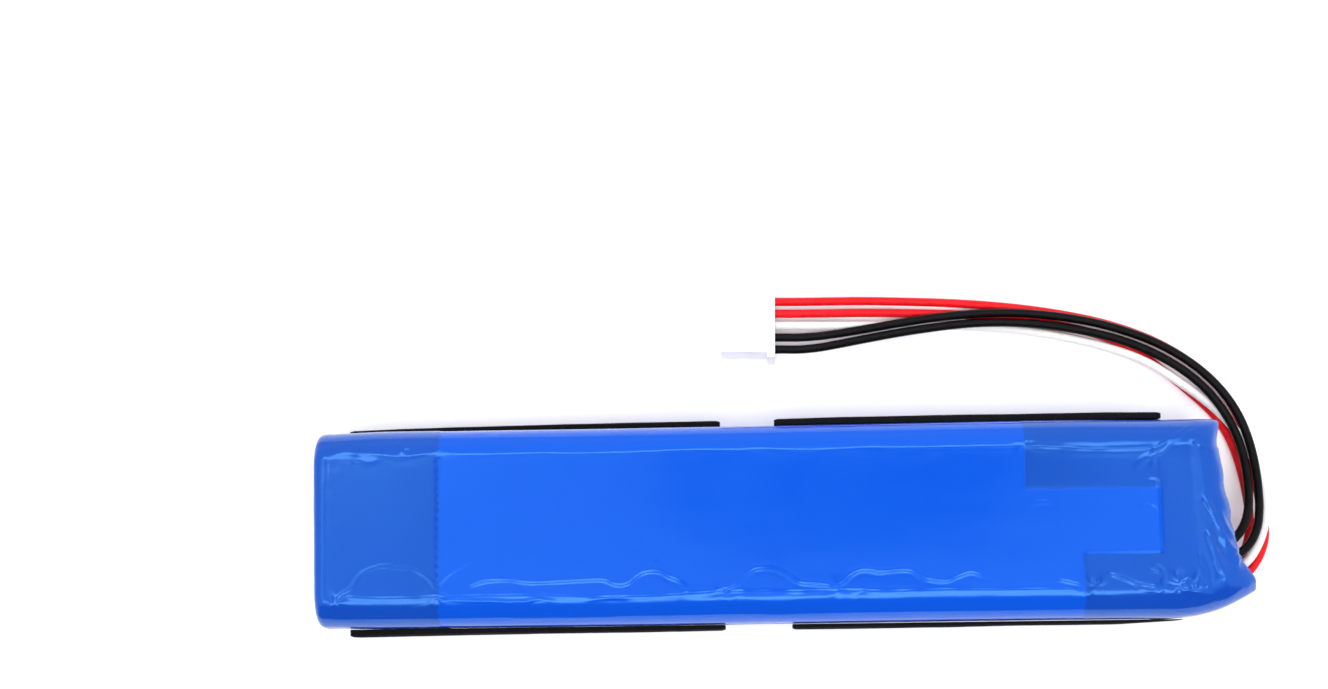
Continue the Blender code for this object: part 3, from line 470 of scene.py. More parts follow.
def film_columns():
    """How the points of one ring are shared out: (part, parameter) for each column."""
    cols = []
    n_arc, n_side, n_bot = 24, 12, 34
    # closer together on the top where the film is creased along its shoulders
    place = -FLAT
    while place < FLAT - 0.05:
        cols.append((0, place / FLAT))
        crowd = max(math.exp(-((place + 9.3) / 2.6) ** 4), math.exp(-((place - 10.6) / 1.2) ** 4))
        place += 0.33 - 0.20 * crowd
    for i in range(n_arc):
        cols.append((1, math.pi / 2 * (i / n_arc) ** 1.1))
    for i in range(n_side):
        cols.append((2, i / n_side))
    for i in range(n_arc // 2):
        cols.append((3, math.pi / 2 * (1 - 2 * i / n_arc)))
    for i in range(n_bot):
        cols.append((4, 1.0 - 2.0 * i / n_bot))
    for i in range(n_arc // 2):
        cols.append((5, math.pi / 2 * 2 * i / n_arc))
    for i in range(n_side):
        cols.append((6, i / n_side))
    for i in range(n_arc):
        cols.append((7, math.pi / 2 * (1 - i / n_arc) ** 1.1))
    part = np.array([c[0] for c in cols])
    t = np.array([c[1] for c in cols])
    return part, t


PART, T = film_columns()


def film_section(w_plus, w_minus, z_top, z_bot, crown):
    """Rings of the film (rows) at every column; the arguments are arrays, one value a ring."""
    wp, wm, zt, zb, cr = (np.asarray(a, float)[:, None] for a in (w_plus, w_minus, z_top, z_bot, crown))
    mid = (zt + zb) / 2
    fp, fm = wp - SHOULDER, wm - SHOULDER
    st = mid + (zt - mid) * SIDE_RATIO
    sb = mid - (mid - zb) * SIDE_RATIO
    t = T[None, :]
    y = np.zeros((wp.shape[0], len(T)))
    z = np.zeros_like(y)
    flat = np.where(t < 0, t * fm, t * fp)
    sn, cs = np.abs(np.sin(t)) ** ROUND, np.abs(np.cos(t)) ** ROUND
    for k, (yy, zz) in {
        0: (flat, zt + cr * (1 - t * t)),
        1: (fp + SHOULDER * sn, st + (zt - st) * cs),
        2: (wp + 0 * t, st + (sb - st) * t),
        3: (fp + SHOULDER * sn, sb - (sb - zb) * cs),
        4: (flat, zb - 0 * t),
        5: (-fm - SHOULDER * sn, sb - (sb - zb) * cs),
        6: (-wm + 0 * t, sb + (st - sb) * t),
        7: (-fm - SHOULDER * sn, st + (zt - st) * cs),
    }.items():
        sel = PART == k
        y[:, sel] = np.broadcast_to(yy, y.shape)[:, sel]
        z[:, sel] = np.broadcast_to(zz, y.shape)[:, sel]
    return y, z


def girth(y, z):
    """Distance round the ring from the middle of the top: positive towards +Y."""
    n = len(y)
    start = int(np.argmin(np.abs(y[:n // 4])))
    step = np.hypot(np.diff(np.append(y, y[0])), np.diff(np.append(z, z[0])))
    run = np.concatenate([[0.0], np.cumsum(step)])
    total = run[-1]
    q = run[:-1] - run[start]
    return np.where(q > total / 2, q - total, q), total


# Creases of the film, each as (height, half-width, points): points are (place along the pack,
# distance round it from the middle of the top), in millimetres.
CREASES = [
    (0.038, 0.26, [(-67.1, -10.5), (-61.0, -10.8), (-54.9, -10.7), (-52.3, -10.6), (-48.8, -10.6), (-42.7, -10.6), (-33.6, -10.7), (-27.5, -11.0),
                  (-21.5, -11.0), (-15.4, -10.8), (-9.4, -10.5), (-3.4, -10.5), (2.6, -10.6), (8.6, -10.5), (13.1, -10.7), (17.6, -10.8),
                  (25.1, -10.7), (32.5, -10.8), (39.9, -10.8), (44.4, -10.9)]),
    (0.07, 0.22, [(-51.8, -11.1), (-42.9, -11.4), (-41.6, -11.6), (-40.3, -11.5), (-38.7, -11.5), (-37.1, -11.1), (-34.0, -11.6)]),
    (0.06, 0.25, [(-29.8, -11.5), (-26.0, -11.1), (-22.8, -11.3)]),
    (0.035, 0.30, [(-52.5, 11.5), (-48.8, 11.1), (-42.7, 11.0), (-36.5, 11.1), (-31.9, 10.9), (-24.3, 10.9), (-18.2, 11.1), (-12.1, 11.2),
                  (-6.0, 11.2), (-3.0, 11.3), (3.1, 10.8), (9.1, 10.9), (13.7, 11.1), (18.2, 10.9), (25.7, 10.9), (33.2, 10.9), (36.2, 10.9)]),
    (0.08, 0.35, [(36.5, 10.9), (42.2, 10.5), (46.7, 10.2), (52.7, 10.3), (57.1, 10.5)]),
    (0.06, 0.22, [(-47.7, -9.4), (-46.7, -9.0), (-44.5, -8.4), (-41.0, -8.4), (-37.7, -8.8), (-31.6, -8.6), (-27.2, -8.5), (-25.6, -9.1),
                  (-24.3, -9.3), (-23.0, -8.9), (-22.0, -8.1), (-20.9, -7.5), (-19.6, -7.3), (-18.3, -7.5), (-16.8, -8.3), (-15.4, -8.9), (-14.4, -9.9)]),
    (0.05, 0.22, [(-51.8, -9.9), (-51.4, -8.8), (-50.5, -7.8), (-49.2, -6.9), (-48.1, -6.3), (-47.3, -5.9), (-46.1, -6.1)]),
    (0.07, 0.24, [(-68.2, -11.4), (-67.2, -10.2), (-66.4, -9.8), (-65.3, -9.0), (-64.4, -7.5), (-63.3, -6.6), (-61.8, -6.1), (-60.3, -5.9),
                  (-58.3, -6.2), (-56.4, -6.3), (-54.9, -6.9), (-53.4, -8.0), (-52.3, -9.5)]),
    (0.06, 0.22, [(-9.8, -10.4), (-8.3, -10.0), (-7.0, -9.5), (-5.7, -8.4), (-4.2, -7.3), (-2.3, -7.1), (-0.6, -7.4), (1.0, -8.3), (2.7, -9.4),
                  (5.7, -9.7), (7.9, -10.0)]),
    (0.06, 0.22, [(7.9, -10.0), (9.1, -9.5), (10.3, -8.4), (11.7, -7.7), (13.2, -7.7), (14.7, -8.0), (16.9, -7.8), (19.0, -7.8), (20.7, -8.6),
                  (22.0, -9.2), (24.5, -9.5), (26.6, -8.7), (28.3, -8.2), (29.6, -8.7), (30.5, -9.0)]),
    (0.05, 0.3, [(-68.9, 11.3), (-66.6, 11.9), (-64.2, 11.6), (-61.1, 11.2), (-58.1, 10.7), (-55.0, 11.1), (-52.6, 11.5)]),
    (0.09, 0.45, [(-65.5, 10.9), (-63.3, 10.1), (-61.1, 10.3)]),
    (0.09, 0.26, [(53.0, 7.0), (55.0, 8.6), (56.3, 9.3), (57.6, 9.9), (59.0, 11.3), (61.0, 12.5), (63.0, 13.4)]),
    (0.07, 0.15, [(54.8, 5.3), (55.7, 5.4), (56.6, 5.0)]),
    (0.08, 0.16, [(48.3, -8.4), (50.4, -9.1), (52.6, -9.9), (54.7, -10.5), (55.9, -10.4)]),
    (0.07, 0.14, [(49.2, -8.7), (51.5, -9.7), (53.7, -10.8), (55.4, -11.3), (56.2, -11.0)]),
    (0.07, 0.14, [(54.6, -7.9), (55.3, -8.2), (56.3, -8.6)]),
    (0.05, 0.14, [(55.3, -7.3), (55.9, -7.7)]),
    (0.12, 0.35, [(58.0, -10.3), (59.2, -10.7), (60.6, -11.4), (61.8, -11.8), (63.2, -12.4), (64.7, -13.1)]),
    (0.08, 0.25, [(57.4, -13.5), (58.6, -12.6), (60.0, -12.9), (61.2, -14.2)]),
    (0.26, 0.42, [(63.2, 3.0), (64.6, 0.6), (65.5, -2.2), (66.4, -4.9), (67.4, -7.0), (68.6, -9.0)]),
    (0.20, 0.34, [(65.3, 1.6), (66.2, -1.2), (66.9, -3.4), (67.9, -5.8), (69.3, -7.8)]),
    (0.24, 0.42, [(63.6, -2.2), (64.4, -5.0), (65.0, -7.8), (65.8, -10.4), (66.8, -12.4)]),
    (-0.18, 0.40, [(64.6, -3.4), (65.5, -6.0), (66.5, -8.6), (67.6, -10.6)]),
    (0.16, 0.30, [(67.2, -7.2), (68.2, -9.2), (68.0, -11.6)]),
    (0.12, 0.24, [(62.0, -5.8), (62.8, -7.9), (63.3, -10.2), (63.4, -12.2)]),
    (0.08, 0.22, [(52.9, 7.7), (54.8, 9.1), (56.9, 10.5), (59.6, 12.3), (62.2, 14.2)]),
    (0.14, 0.30, [(61.4, 12.2), (63.2, 10.8), (65.1, 9.8)]),
    (0.07, 0.16, [(55.4, 5.4), (56.2, 5.4), (56.4, 4.8), (55.7, 4.5)]),
    (0.06, 0.16, [(55.0, 1.2), (55.8, 1.2), (56.1, 0.7)]),
    (0.08, 0.18, [(55.6, -7.0), (56.6, -8.0), (56.9, -9.3), (56.2, -10.8)]),
    (-0.05, 0.50, [(63.0, 12.5), (63.6, 9.8), (64.2, 5.3), (64.8, 1.5), (65.2, -1.2)]),
    (0.04, 0.35, [(64.3, 12.0), (64.8, 9.8), (65.2, 5.3), (65.9, 1.5), (66.6, -1.6)]),
    (0.05, 0.14, [(-62.0, -13.4), (-58.0, -12.9), (-54.5, -12.2), (-52.6, -11.4)]),
    (0.05, 0.18, [(-41.5, -14.6), (-34.0, -14.5), (-25.0, -14.5)]),
    (0.05, 0.14, [(-21.6, -2.8), (-21.3, -3.2)]),
    (0.06, 0.16, [(-19.9, -5.9), (-18.8, -5.8)]),
    (0.05, 0.15, [(37.5, 2.0), (39.5, 2.3), (41.0, 2.1)]),
    (0.05, 0.18, [(53.6, 1.2), (54.6, 1.7), (55.8, 1.8)]),
    (0.06, 0.2, [(40.8, -9.3), (43.0, -9.8), (45.0, -10.4)]),
]
# Small knots where several creases meet: (place along, distance round, reach, height)
KNOTS = [(-52.3, -10.4, 1.5, 0.10), (-68.0, -11.6, 1.3, 0.12), (-9.0, -10.7, 1.2, 0.07), (-6.6, -10.6, 0.9, 0.06), (8.6, -10.6, 1.4, 0.08),
         (11.4, -10.9, 0.9, 0.06), (45.0, -12.2, 1.2, 0.08), (46.9, -10.6, 1.6, 0.07), (-57.8, 12.3, 1.0, 0.16), (36.8, 11.2, 1.2, 0.10),
         (-52.5, 11.9, 1.1, 0.09), (60.6, -11.2, 1.8, 0.10), (59.0, -10.4, 1.7, 0.13), (61.4, -11.4, 1.7, 0.13), (56.4, -10.8, 0.8, 0.09), (56.0, 8.9, 0.9, 0.05), (-15.0, -10.5, 0.9, 0.05)]


def crease_field(x, q, creases, seed, gain=1.7):
    """Height of all creases at each point."""
    total = np.zeros_like(x)
    for number, (height, half, points) in enumerate(creases):
        pts = np.array(points, float)
        across = abs(pts[-1, 0] - pts[0, 0]) < abs(pts[-1, 1] - pts[0, 1]) * 1.4
        height, half = height * gain, half * 0.85 if across else max(0.15, half * 0.7)
        lo, hi = pts.min(0) - 4 * abs(half) - 0.3, pts.max(0) + 4 * abs(half) + 0.3
        near = (x > lo[0]) & (x < hi[0]) & (q > lo[1]) & (q < hi[1])
        if not near.any():
            continue
        # a smooth line through the points
        fine = [pts[0]]
        ext = np.vstack([2 * pts[0] - pts[1], pts, 2 * pts[-1] - pts[-2]])
        for k in range(1, len(ext) - 2):
            p0, p1, p2, p3 = ext[k - 1:k + 3]
            steps = max(2, int(np.hypot(*(p2 - p1)) / 0.35))
            for s in np.arange(1, steps + 1) / steps:
                fine.append(0.5 * (2 * p1 + (p2 - p0) * s + (2 * p0 - 5 * p1 + 4 * p2 - p3) * s ** 2 + (3 * p1 - p0 - 3 * p2 + p3) * s ** 3))
        fine = np.array(fine)
        run = np.concatenate([[0.0], np.cumsum(np.hypot(*np.diff(fine, axis=0).T))])
        px, pq = x[near], q[near]
        best = np.full(px.shape, 1e9)
        along = np.zeros(px.shape)
        for a, b, ra, rb in zip(fine[:-1], fine[1:], run[:-1], run[1:]):
            d = b - a
            ll = max(1e-9, d @ d)
            tt = np.clip(((px - a[0]) * d[0] + (pq - a[1]) * d[1]) / ll, 0, 1)
            dist = np.hypot(px - a[0] - tt * d[0], pq - a[1] - tt * d[1])
            closer = dist < best
            best = np.where(closer, dist, best)
            along = np.where(closer, ra + tt * (rb - ra), along)
        length = run[-1]
        fade = smoothstep(along, -0.2, min(1.6, length * 0.35)) * (1 - smoothstep(along, length - min(1.6, length * 0.35), length + 0.2))
        vary = 0.78 + 0.42 * lattice_noise(along / 2.3 + 31 * number, np.zeros_like(along) + 0.5, seed)
        bump = height * fade * vary * (np.exp(-best ** 2 / (2 * half ** 2)) - 0.28 * np.exp(-best ** 2 / (2 * (2.6 * half) ** 2)))
        total[near] += bump
    return total


def knot_field(x, q, knots, seed):
    total = np.zeros_like(x)
    for number, (kx, kq, reach, height) in enumerate(knots):
        near = (np.abs(x - kx) < 2.2 * reach) & (np.abs(q - kq) < 2.2 * reach)
        dx, dq = x[near] - kx, q[near] - kq
        r = np.hypot(dx, dq)
        ang = np.arctan2(dq, dx)
        rng = np.random.default_rng(seed + number)
        rays = sum(np.cos(k * ang + rng.uniform(0, 6.28)) * rng.uniform(0.5, 1.0) for k in (3, 4, 5)) / 2.2
        total[near] += height * np.exp(-(r / reach) ** 2) * (0.35 + 0.8 * rays * smoothstep(r, 0.1, 0.6 * reach))
    return total


FILM_RINGS = {}


def build_film():
    # left end: from the edge of its opening, over the folded end, on to the side
    fold = np.array([(-71.60, 6.9), (-71.66, 6.2), (-71.74, 4.8), (-71.80, 3.4), (-71.80, 2.0), (-71.74, 1.1), (-71.52, 0.5), (-71.1, 0.16), (-70.6, 0.02), (-69.8, 0.0), (-68.6, 0.0), (-67.0, 0.0)])
    run = np.concatenate([[0.0], np.cumsum(np.hypot(*np.diff(fold, axis=0).T))])
    tt = np.linspace(0, run[-1], 52)
    fx = np.interp(tt, run, fold[:, 0])
    fi = np.interp(tt, run, fold[:, 1])
    for arr in (fx, fi):
        inner = arr.copy()
        for _ in range(2):
            inner[1:-1] = 0.25 * inner[:-2] + 0.5 * inner[1:-1] + 0.25 * inner[2:]
        arr[:] = inner
    body_x = np.arange(-66.7, TAIL_X0 - 0.05, 0.34)
    s_tail = np.linspace(0.0, 1.0, 46)
    x_row = np.concatenate([fx, body_x, np.full(len(s_tail), TAIL_X0)])
    inset = np.concatenate([fi, np.zeros(len(body_x) + len(s_tail))])
    s = np.concatenate([np.zeros(len(fx) + len(body_x)), s_tail])
    # the sleeve draws in a little towards its folded end
    narrow_p = 0.26 * smoothstep(-x_row, 60.0, 71.5)
    narrow_m = 0.15 * smoothstep(-x_row, 62.0, 71.5)
    bow = 0.05 * np.sin(x_row / 19.0)
    w_plus = HALF_W - 0.05 * s ** 3 - 0.20 * smoothstep(x_row, 44.0, 58.0) - inset - narrow_p + bow - 0.05
    w_minus = HALF_W - 4.0 * s ** 2.2 - inset - narrow_m - bow - 0.05
    z_top = soft_interp(s, TAIL_TOP, 0.05) - inset
    z_bot = soft_interp(s, TAIL_BOT, 0.05) + inset
    crown = 0.10 * (1 - smoothstep(s, 0.0, 0.8)) * smoothstep(-inset, -1.0, 0.0)
    y, z = film_section(w_plus, w_minus, z_top, z_bot, crown)
    z -= 0.10 * (1 - smoothstep(s, 0.0, 0.8))[:, None] * (z > 18.0)
    z = np.maximum(z, 0.0)
    # where each column of the tail ends
    yl, zl = y[-1], z[-1]
    reach = soft_interp(yl, MOUTH_X, 0.5)
    reach = reach - 1.2 * np.clip((9.5 - zl) / 4.7, 0, 1)
    col = np.arange(len(T))
    reach = reach + 0.16 * np.sin(col * 0.33) * np.sin(col * 0.071 + 1.0)
    reach = np.minimum(reach, 71.95)
    x = x_row[:, None] + s[:, None] * (reach[None, :] - TAIL_X0)
    # the folded end is a little askew
    x = x + 0.46 * smoothstep(-x, 66.0, 71.5) * np.clip(0.5 - y / 30.3, 0, 1)
    mid_row = len(fx) + len(body_x) // 2
    q_col, total_q = girth(y[mid_row], z[mid_row])
    q = np.broadcast_to(q_col[None, :], x.shape).copy()
    xn = x.copy()

    # ---- displacement along the surface normal
    d = np.zeros_like(x)
    on_face = (np.abs(q) < 34)
    # long soft waves, stronger on the shoulders than on the flat faces
    shoulder = np.exp(-((np.abs(q) - 13.0) / 3.0) ** 2) + np.exp(-((np.abs(q) - 30.5) / 3.5) ** 2)
    d += 0.030 * fbm(xn / 16.0, q / 7.0, 11, 2)
    d += (0.035 * shoulder + 0.004) * fbm(xn / 7.0, q / 1.7, 23, 3)
    # creases along the shoulder get a wavy double edge
    d += 0.022 * np.exp(-((np.abs(q) - 11.9 - 0.35 * lattice_noise(xn / 4.0, 0 * q + 0.3, 5)) / 0.28) ** 2) * (0.5 + 0.5 * lattice_noise(xn / 6.0, np.sign(q) * 3.3 + 7, 41))
    d += crease_field(xn, q, CREASES, 7)
    d += 1.5 * knot_field(xn, q, KNOTS, 90)
    # the same kind of creases on the hidden underside, placed by rule
    rng = np.random.default_rng(77)
    under = []
    half_girth = total_q / 2
    for side in (-1, 1):
        edge = half_girth - 11.0
        at = -62.0
        while at < 50.0:
            span = rng.uniform(7.0, 14.0)
            lift = rng.uniform(1.5, 3.2)
            under.append((rng.uniform(0.04, 0.07), rng.uniform(0.2, 0.28),
                          [(at + span * f, side * (edge + lift * math.sin(math.pi * f) ** 0.8)) for f in (0.0, 0.15, 0.35, 0.6, 0.85, 1.0)]))
            at += span + rng.uniform(0.5, 7.0)
        under.append((0.09, 0.4, [(xx, side * (edge + 0.2 * math.sin(xx * 0.4))) for xx in range(-66, 57, 6)]))
    d += crease_field(xn, q, under, 17)
    # tape edges under the film
    step_w = 0.10
    saw = 0.35 * np.abs(((q / 1.4) % 1.0) - 0.5)
    d += 0.07 * (1 - smoothstep(xn + saw, -52.35 - step_w, -52.35 + step_w))
    d += 0.06 * smoothstep(xn, 57.0 - step_w, 57.0 + step_w)
    up = smoothstep(xn, 36.9 - step_w, 36.9 + step_w) * smoothstep(q, 4.4 - step_w, 4.4 + step_w) * (q < 19) * (1 - smoothstep(xn, 57.0 - step_w, 57.0 + step_w))
    dn = smoothstep(xn, 45.2 - step_w, 45.2 + step_w) * smoothstep(-q, 5.45 - step_w, 5.45 + step_w) * (q > -19) * (1 - smoothstep(xn, 57.0 - step_w, 57.0 + step_w))
    d += 0.05 * (up + dn)
    # crumpled film at both ends
    left_end = 1 - smoothstep(xn, -71.0, -60.0)
    right_end = smoothstep(xn, 57.0, 66.0)
    d += (0.05 * left_end * (0.25 + shoulder) + 0.10 * right_end * (0.25 + shoulder)) * fbm(xn / 3.0, q / 2.2, 61, 3)
    # streaks along the folded end's rounded edge
    for at, h, w in ((-70.6, -0.02, 0.15), (-69.9, 0.025, 0.14), (-69.3, -0.015, 0.16)):
        d += h * np.exp(-((xn - at - 0.12 * lattice_noise(q / 3.0, 0 * q + at, 3)) / w) ** 2) * (0.5 + 0.5 * lattice_noise(q / 2.1, 0 * q + 2 * at, 8)) * (inset[:, None] < 2.0)
    # gathers on the folded end face
    end = np.clip((inset - 1.2) / 5.0, 0, 1)[:, None]
    ang = 2 * math.pi * col / len(T)
    rng = np.random.default_rng(5)
    pleat = sum(np.cos(k * ang + rng.uniform(0, 6.28)) * a for k, a in ((9, 0.5), (14, 0.8), (19, 0.7), (27, 0.5), (38, 0.25)))
    d += 0.10 * end * np.maximum(pleat[None, :], 0.0) + 0.05 * end
    # ragged lips of the open end
    lip = smoothstep(s, 0.82, 1.0)[:, None]
    d += 0.22 * lip * fbm(q / 3.6, 0 * q + 0.2, 71, 2)

    # normals of the smooth shape
    du = np.stack([np.gradient(a, axis=0) for a in (x, y, z)], -1)
    wrap = lambda a: (np.roll(a, -1, axis=1) - np.roll(a, 1, axis=1)) / 2
    dv = np.stack([wrap(a) for a in (x, y, z)], -1)
    nrm = np.cross(du, dv)
    nrm /= np.maximum(1e-9, np.linalg.norm(nrm, axis=-1, keepdims=True))
    if nrm[mid_row, 10, 2] < 0:
        nrm = -nrm
    pos = np.stack([x, y, z], -1) + nrm * d[..., None]
    # two small ears at the folded end, and the small lump of the lower lip at the open end
    for cx, cy, cz, reach_, push in ((-71.3, 12.3, 13.0, 1.2, (-0.55, -0.1, 0.1)), (-70.2, -14.0, 12.0, 1.3, (-0.05, -0.25, -0.1)), (66.6, 9.2, 6.5, 1.1, (0.9, 0.0, 0.4))):
        w = np.exp(-((pos[..., 0] - cx) ** 2 + (pos[..., 1] - cy) ** 2 + ((pos[..., 2] - cz) * 0.6) ** 2) / reach_ ** 2)
        pos += w[..., None] * np.array(push)
    pos[..., 2] = np.maximum(pos[..., 2], 0.0)
    pos[..., 0] = np.clip(pos[..., 0], -72.6, 72.3)

    # the tape round the folded end lies just inside the film
    end_rows = int(np.searchsorted(x_row, -52.3))
    first = int(np.argmin(np.abs(inset[:len(fx)] - 3.2)))
    inner = pos[first:end_rows] - 0.20 * nrm[first:end_rows]
    inner[..., 2] = np.maximum(inner[..., 2], 0.2)
    FILM_RINGS["left_end_tape"] = inner

    rows, cols = x.shape
    verts = (pos.reshape(-1, 3) * MM).astype(np.float32)
    r, c = np.meshgrid(np.arange(rows - 1), np.arange(cols), indexing="ij")
    c2 = (c + 1) % cols
    quads = np.stack([r * cols + c, r * cols + c2, (r + 1) * cols + c2, (r + 1) * cols + c], -1).reshape(-1, 4)
    mesh = bpy.data.meshes.new("film")
    mesh.vertices.add(len(verts))
    mesh.vertices.foreach_set("co", verts.ravel())
    mesh.loops.add(quads.size)
    mesh.loops.foreach_set("vertex_index", quads.ravel().astype(np.int32))
    mesh.polygons.add(len(quads))
    mesh.polygons.foreach_set("loop_start", (np.arange(len(quads)) * 4).astype(np.int32))
    mesh.update(calc_edges=True)
    mesh.validate()
    # faces look outwards
    mid_face = mesh.polygons[(len(quads) // 2) - (len(quads) // 2) % cols + 10]
    if mid_face.normal.z < 0:
        bm = bmesh.new()
        bm.from_mesh(mesh)
        bmesh.ops.reverse_faces(bm, faces=bm.faces)
        bm.to_mesh(mesh)
        bm.free()
    mesh.polygons.foreach_set("use_smooth", [True] * len(mesh.polygons))
    obj = bpy.data.objects.new("film", mesh)
    scene.collection.objects.link(obj)
    mesh.materials.append(FILM)
    mod = obj.modifiers.new("thickness", 'SOLIDIFY')
    mod.thickness = 0.10 * MM
    mod.offset = -1.0
    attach(obj, "root")
    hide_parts("shrink_sleeve")
    return obj


film = build_film()


def tape_band(node):
    """The adhesive tape that goes round the cells under the film, rebuilt to lie just inside it."""
    rings = FILM_RINGS[node]
    rows, cols = rings.shape[:2]
    r, c = np.meshgrid(np.arange(rows - 1), np.arange(cols), indexing="ij")
    c2 = (c + 1) % cols
    quads = np.stack([r * cols + c, r * cols + c2, (r + 1) * cols + c2, (r + 1) * cols + c], -1).reshape(-1, 4)
    mesh = bpy.data.meshes.new(node + "_look")
    mesh.from_pydata((rings.reshape(-1, 3) * MM).tolist(), [], quads.tolist())
    bm = bmesh.new()
    bm.from_mesh(mesh)
    bmesh.ops.recalc_face_normals(bm, faces=bm.faces)
    probe = max(bm.faces, key=lambda f: f.calc_center_median().z)
    if probe.normal.z < 0:
        bmesh.ops.reverse_faces(bm, faces=bm.faces)
    bm.to_mesh(mesh)
    bm.free()
    mesh.polygons.foreach_set("use_smooth", [True] * len(mesh.polygons))
    obj = bpy.data.objects.new(node + "_look", mesh)
    scene.collection.objects.link(obj)
    mesh.materials.append(TAPE)
    mod = obj.modifiers.new("thickness", 'SOLIDIFY')
    mod.thickness = 0.06 * MM
    mod.offset = -1.0
    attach(obj, "root")
    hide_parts(node)
    return obj


tape_band("left_end_tape")


# =====================================================================================  foam strips
def mesh_object(name, mesh, mat):
    obj = bpy.data.objects.new(name, mesh)
    scene.collection.objects.link(obj)
    mesh.materials.append(mat)
    return obj


def foam_strip(node, slant0, slant1, seed, thick_at, top_at=None):
    lo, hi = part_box(node)
    lo, hi = lo / MM, hi / MM
    nx, nz, ny = 220, 22, 5
    xs, zs = np.linspace(0, 1, nx), np.linspace(0, 1, nz)
    side = 1.0 if lo.y > 0 else -1.0
    y_in, y_out = (lo.y, hi.y) if side > 0 else (hi.y, lo.y)
    bm = bmesh.new()
    bmesh.ops.create_grid(bm, x_segments=nx, y_segments=nz, size=0.5)
    geo = bmesh.ops.extrude_face_region(bm, geom=bm.faces[:])
    top = [v for v in geo["geom"] if isinstance(v, bmesh.types.BMVert)]
    for v in top:
        v.co.z = 1.0
    bmesh.ops.recalc_face_normals(bm, faces=bm.faces)
    verts = np.array([v.co for v in bm.verts])
    thick_at = np.array(thick_at, float)
    a, b, depth = verts[:, 0] + 0.5, verts[:, 1] + 0.5, verts[:, 2]
    X = lo.x + (hi.x - lo.x) * a
    Z = lo.z + (hi.z - lo.z) * b
    X = X + np.where(a < 0.5, slant0, slant1) * np.abs(2 * a - 1) ** 8 * (b - 0.5)
    edge = np.minimum(b, 1 - b) * (hi.z - lo.z)
    edge = np.minimum(edge, np.minimum(a, 1 - a) * (hi.x - lo.x))
    rounding = 0.22 * np.exp(-(edge / 0.28) ** 2)
    wave = 0.05 * fbm(X / 9.0, Z / 4.0, seed, 2)
    if top_at is not None:
        # this strip was laid a little down the side at one end
        top_at = np.array(top_at, float)
        Z = Z + np.maximum(soft_interp(X, top_at, 3.0) - hi.z, 0.15 - lo.z)
    Z = Z + (0.12 * fbm(X / 6.0, 0 * X + seed, seed + 3, 3)) * np.abs(2 * b - 1) ** 6
    thick = side * np.maximum(soft_interp(X, thick_at, 2.5) + wave - rounding, 0.12)
    Y = y_in + thick * depth
    for v, p in zip(bm.verts, np.stack([X, Y, Z], -1)):
        v.co = Vector(p) * MM
    bmesh.ops.recalc_face_normals(bm, faces=bm.faces)
    mesh = bpy.data.meshes.new(node + "_look")
    bm.to_mesh(mesh)
    bm.free()
    mesh.polygons.foreach_set("use_smooth", [True] * len(mesh.polygons))
    mesh.set_sharp_from_angle(angle=math.radians(55))
    obj = mesh_object(node + "_look", mesh, FOAM)
    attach(obj, "root")
    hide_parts(node)
    return obj


foam_strip("foam_strip_rear_left", 0.2, 0.9, 101, [(-67, 0.66), (-59, 0.84), (-43.7, 0.91), (-25, 0.94), (-11, 0.88)],
           [(-66.8, 9.6), (-59, 10.4), (-43.7, 11.6), (-25, 12.8), (-11.3, 13.4)])
foam_strip("foam_strip_rear_right", 0.0, 0.1, 102, [(-1, 0.93), (10, 1.09), (50, 1.09), (58, 0.94)])
foam_strip("foam_strip_front_left", 0.7, 0.1, 103, [(-66, 1.18), (-59, 1.09), (-44, 0.94), (-25, 0.94), (-9.6, 0.77)])
foam_strip("foam_strip_front_right", 0.1, -0.8, 104, [(1.5, 0.77), (18, 0.77), (36, 0.62), (51, 0.62), (56, 0.36), (60.6, 0.16)])


# =====================================================================================  plug
PLUG_POS = Vector((-0.35, 32.35, 3.32))
PLUG_FRAME = Matrix.Translation(PLUG_POS * MM) @ Matrix.Rotation(math.radians(-1.0), 4, 'Z') @ Matrix.Rotation(math.radians(-9.0), 4, 'X')
PITCH, WAYS = 2.0, 5


def way_y(i):
    return (WAYS - 1) / 2.0 * PITCH - i * PITCH


def plug_point(x, y, z=0.0):
    return (PLUG_FRAME @ (Vector((x, y, z)) * MM)) / MM


def boxes_mesh(name, boxes):
    bm = bmesh.new()
    for lo, hi in boxes:
        size = [(hi[i] - lo[i]) * MM for i in range(3)]
        mid = [(hi[i] + lo[i]) / 2 * MM for i in range(3)]
        bmesh.ops.create_cube(bm, size=1.0, matrix=Matrix.Translation(mid) @ Matrix.Diagonal((size[0], size[1], size[2], 1.0)))
    mesh = bpy.data.meshes.new(name)
    bm.to_mesh(mesh)
    bm.free()
    return mesh


def boolean(obj, tools, operation):
    """Applies boolean operations and returns the object with its new mesh."""
    for k, mesh in enumerate(tools):
        tool = bpy.data.objects.new("tool_%d" % k, mesh)
        scene.collection.objects.link(tool)
        mod = obj.modifiers.new("op", 'BOOLEAN')
        mod.operation = operation
        mod.solver = 'EXACT'
        mod.object = tool
        bpy.context.view_layer.update()
        done = bpy.data.meshes.new_from_object(obj.evaluated_get(bpy.context.evaluated_depsgraph_get()))
        obj.modifiers.clear()
        obj.data = done
        bpy.data.objects.remove(tool, do_unlink=True)
    return obj


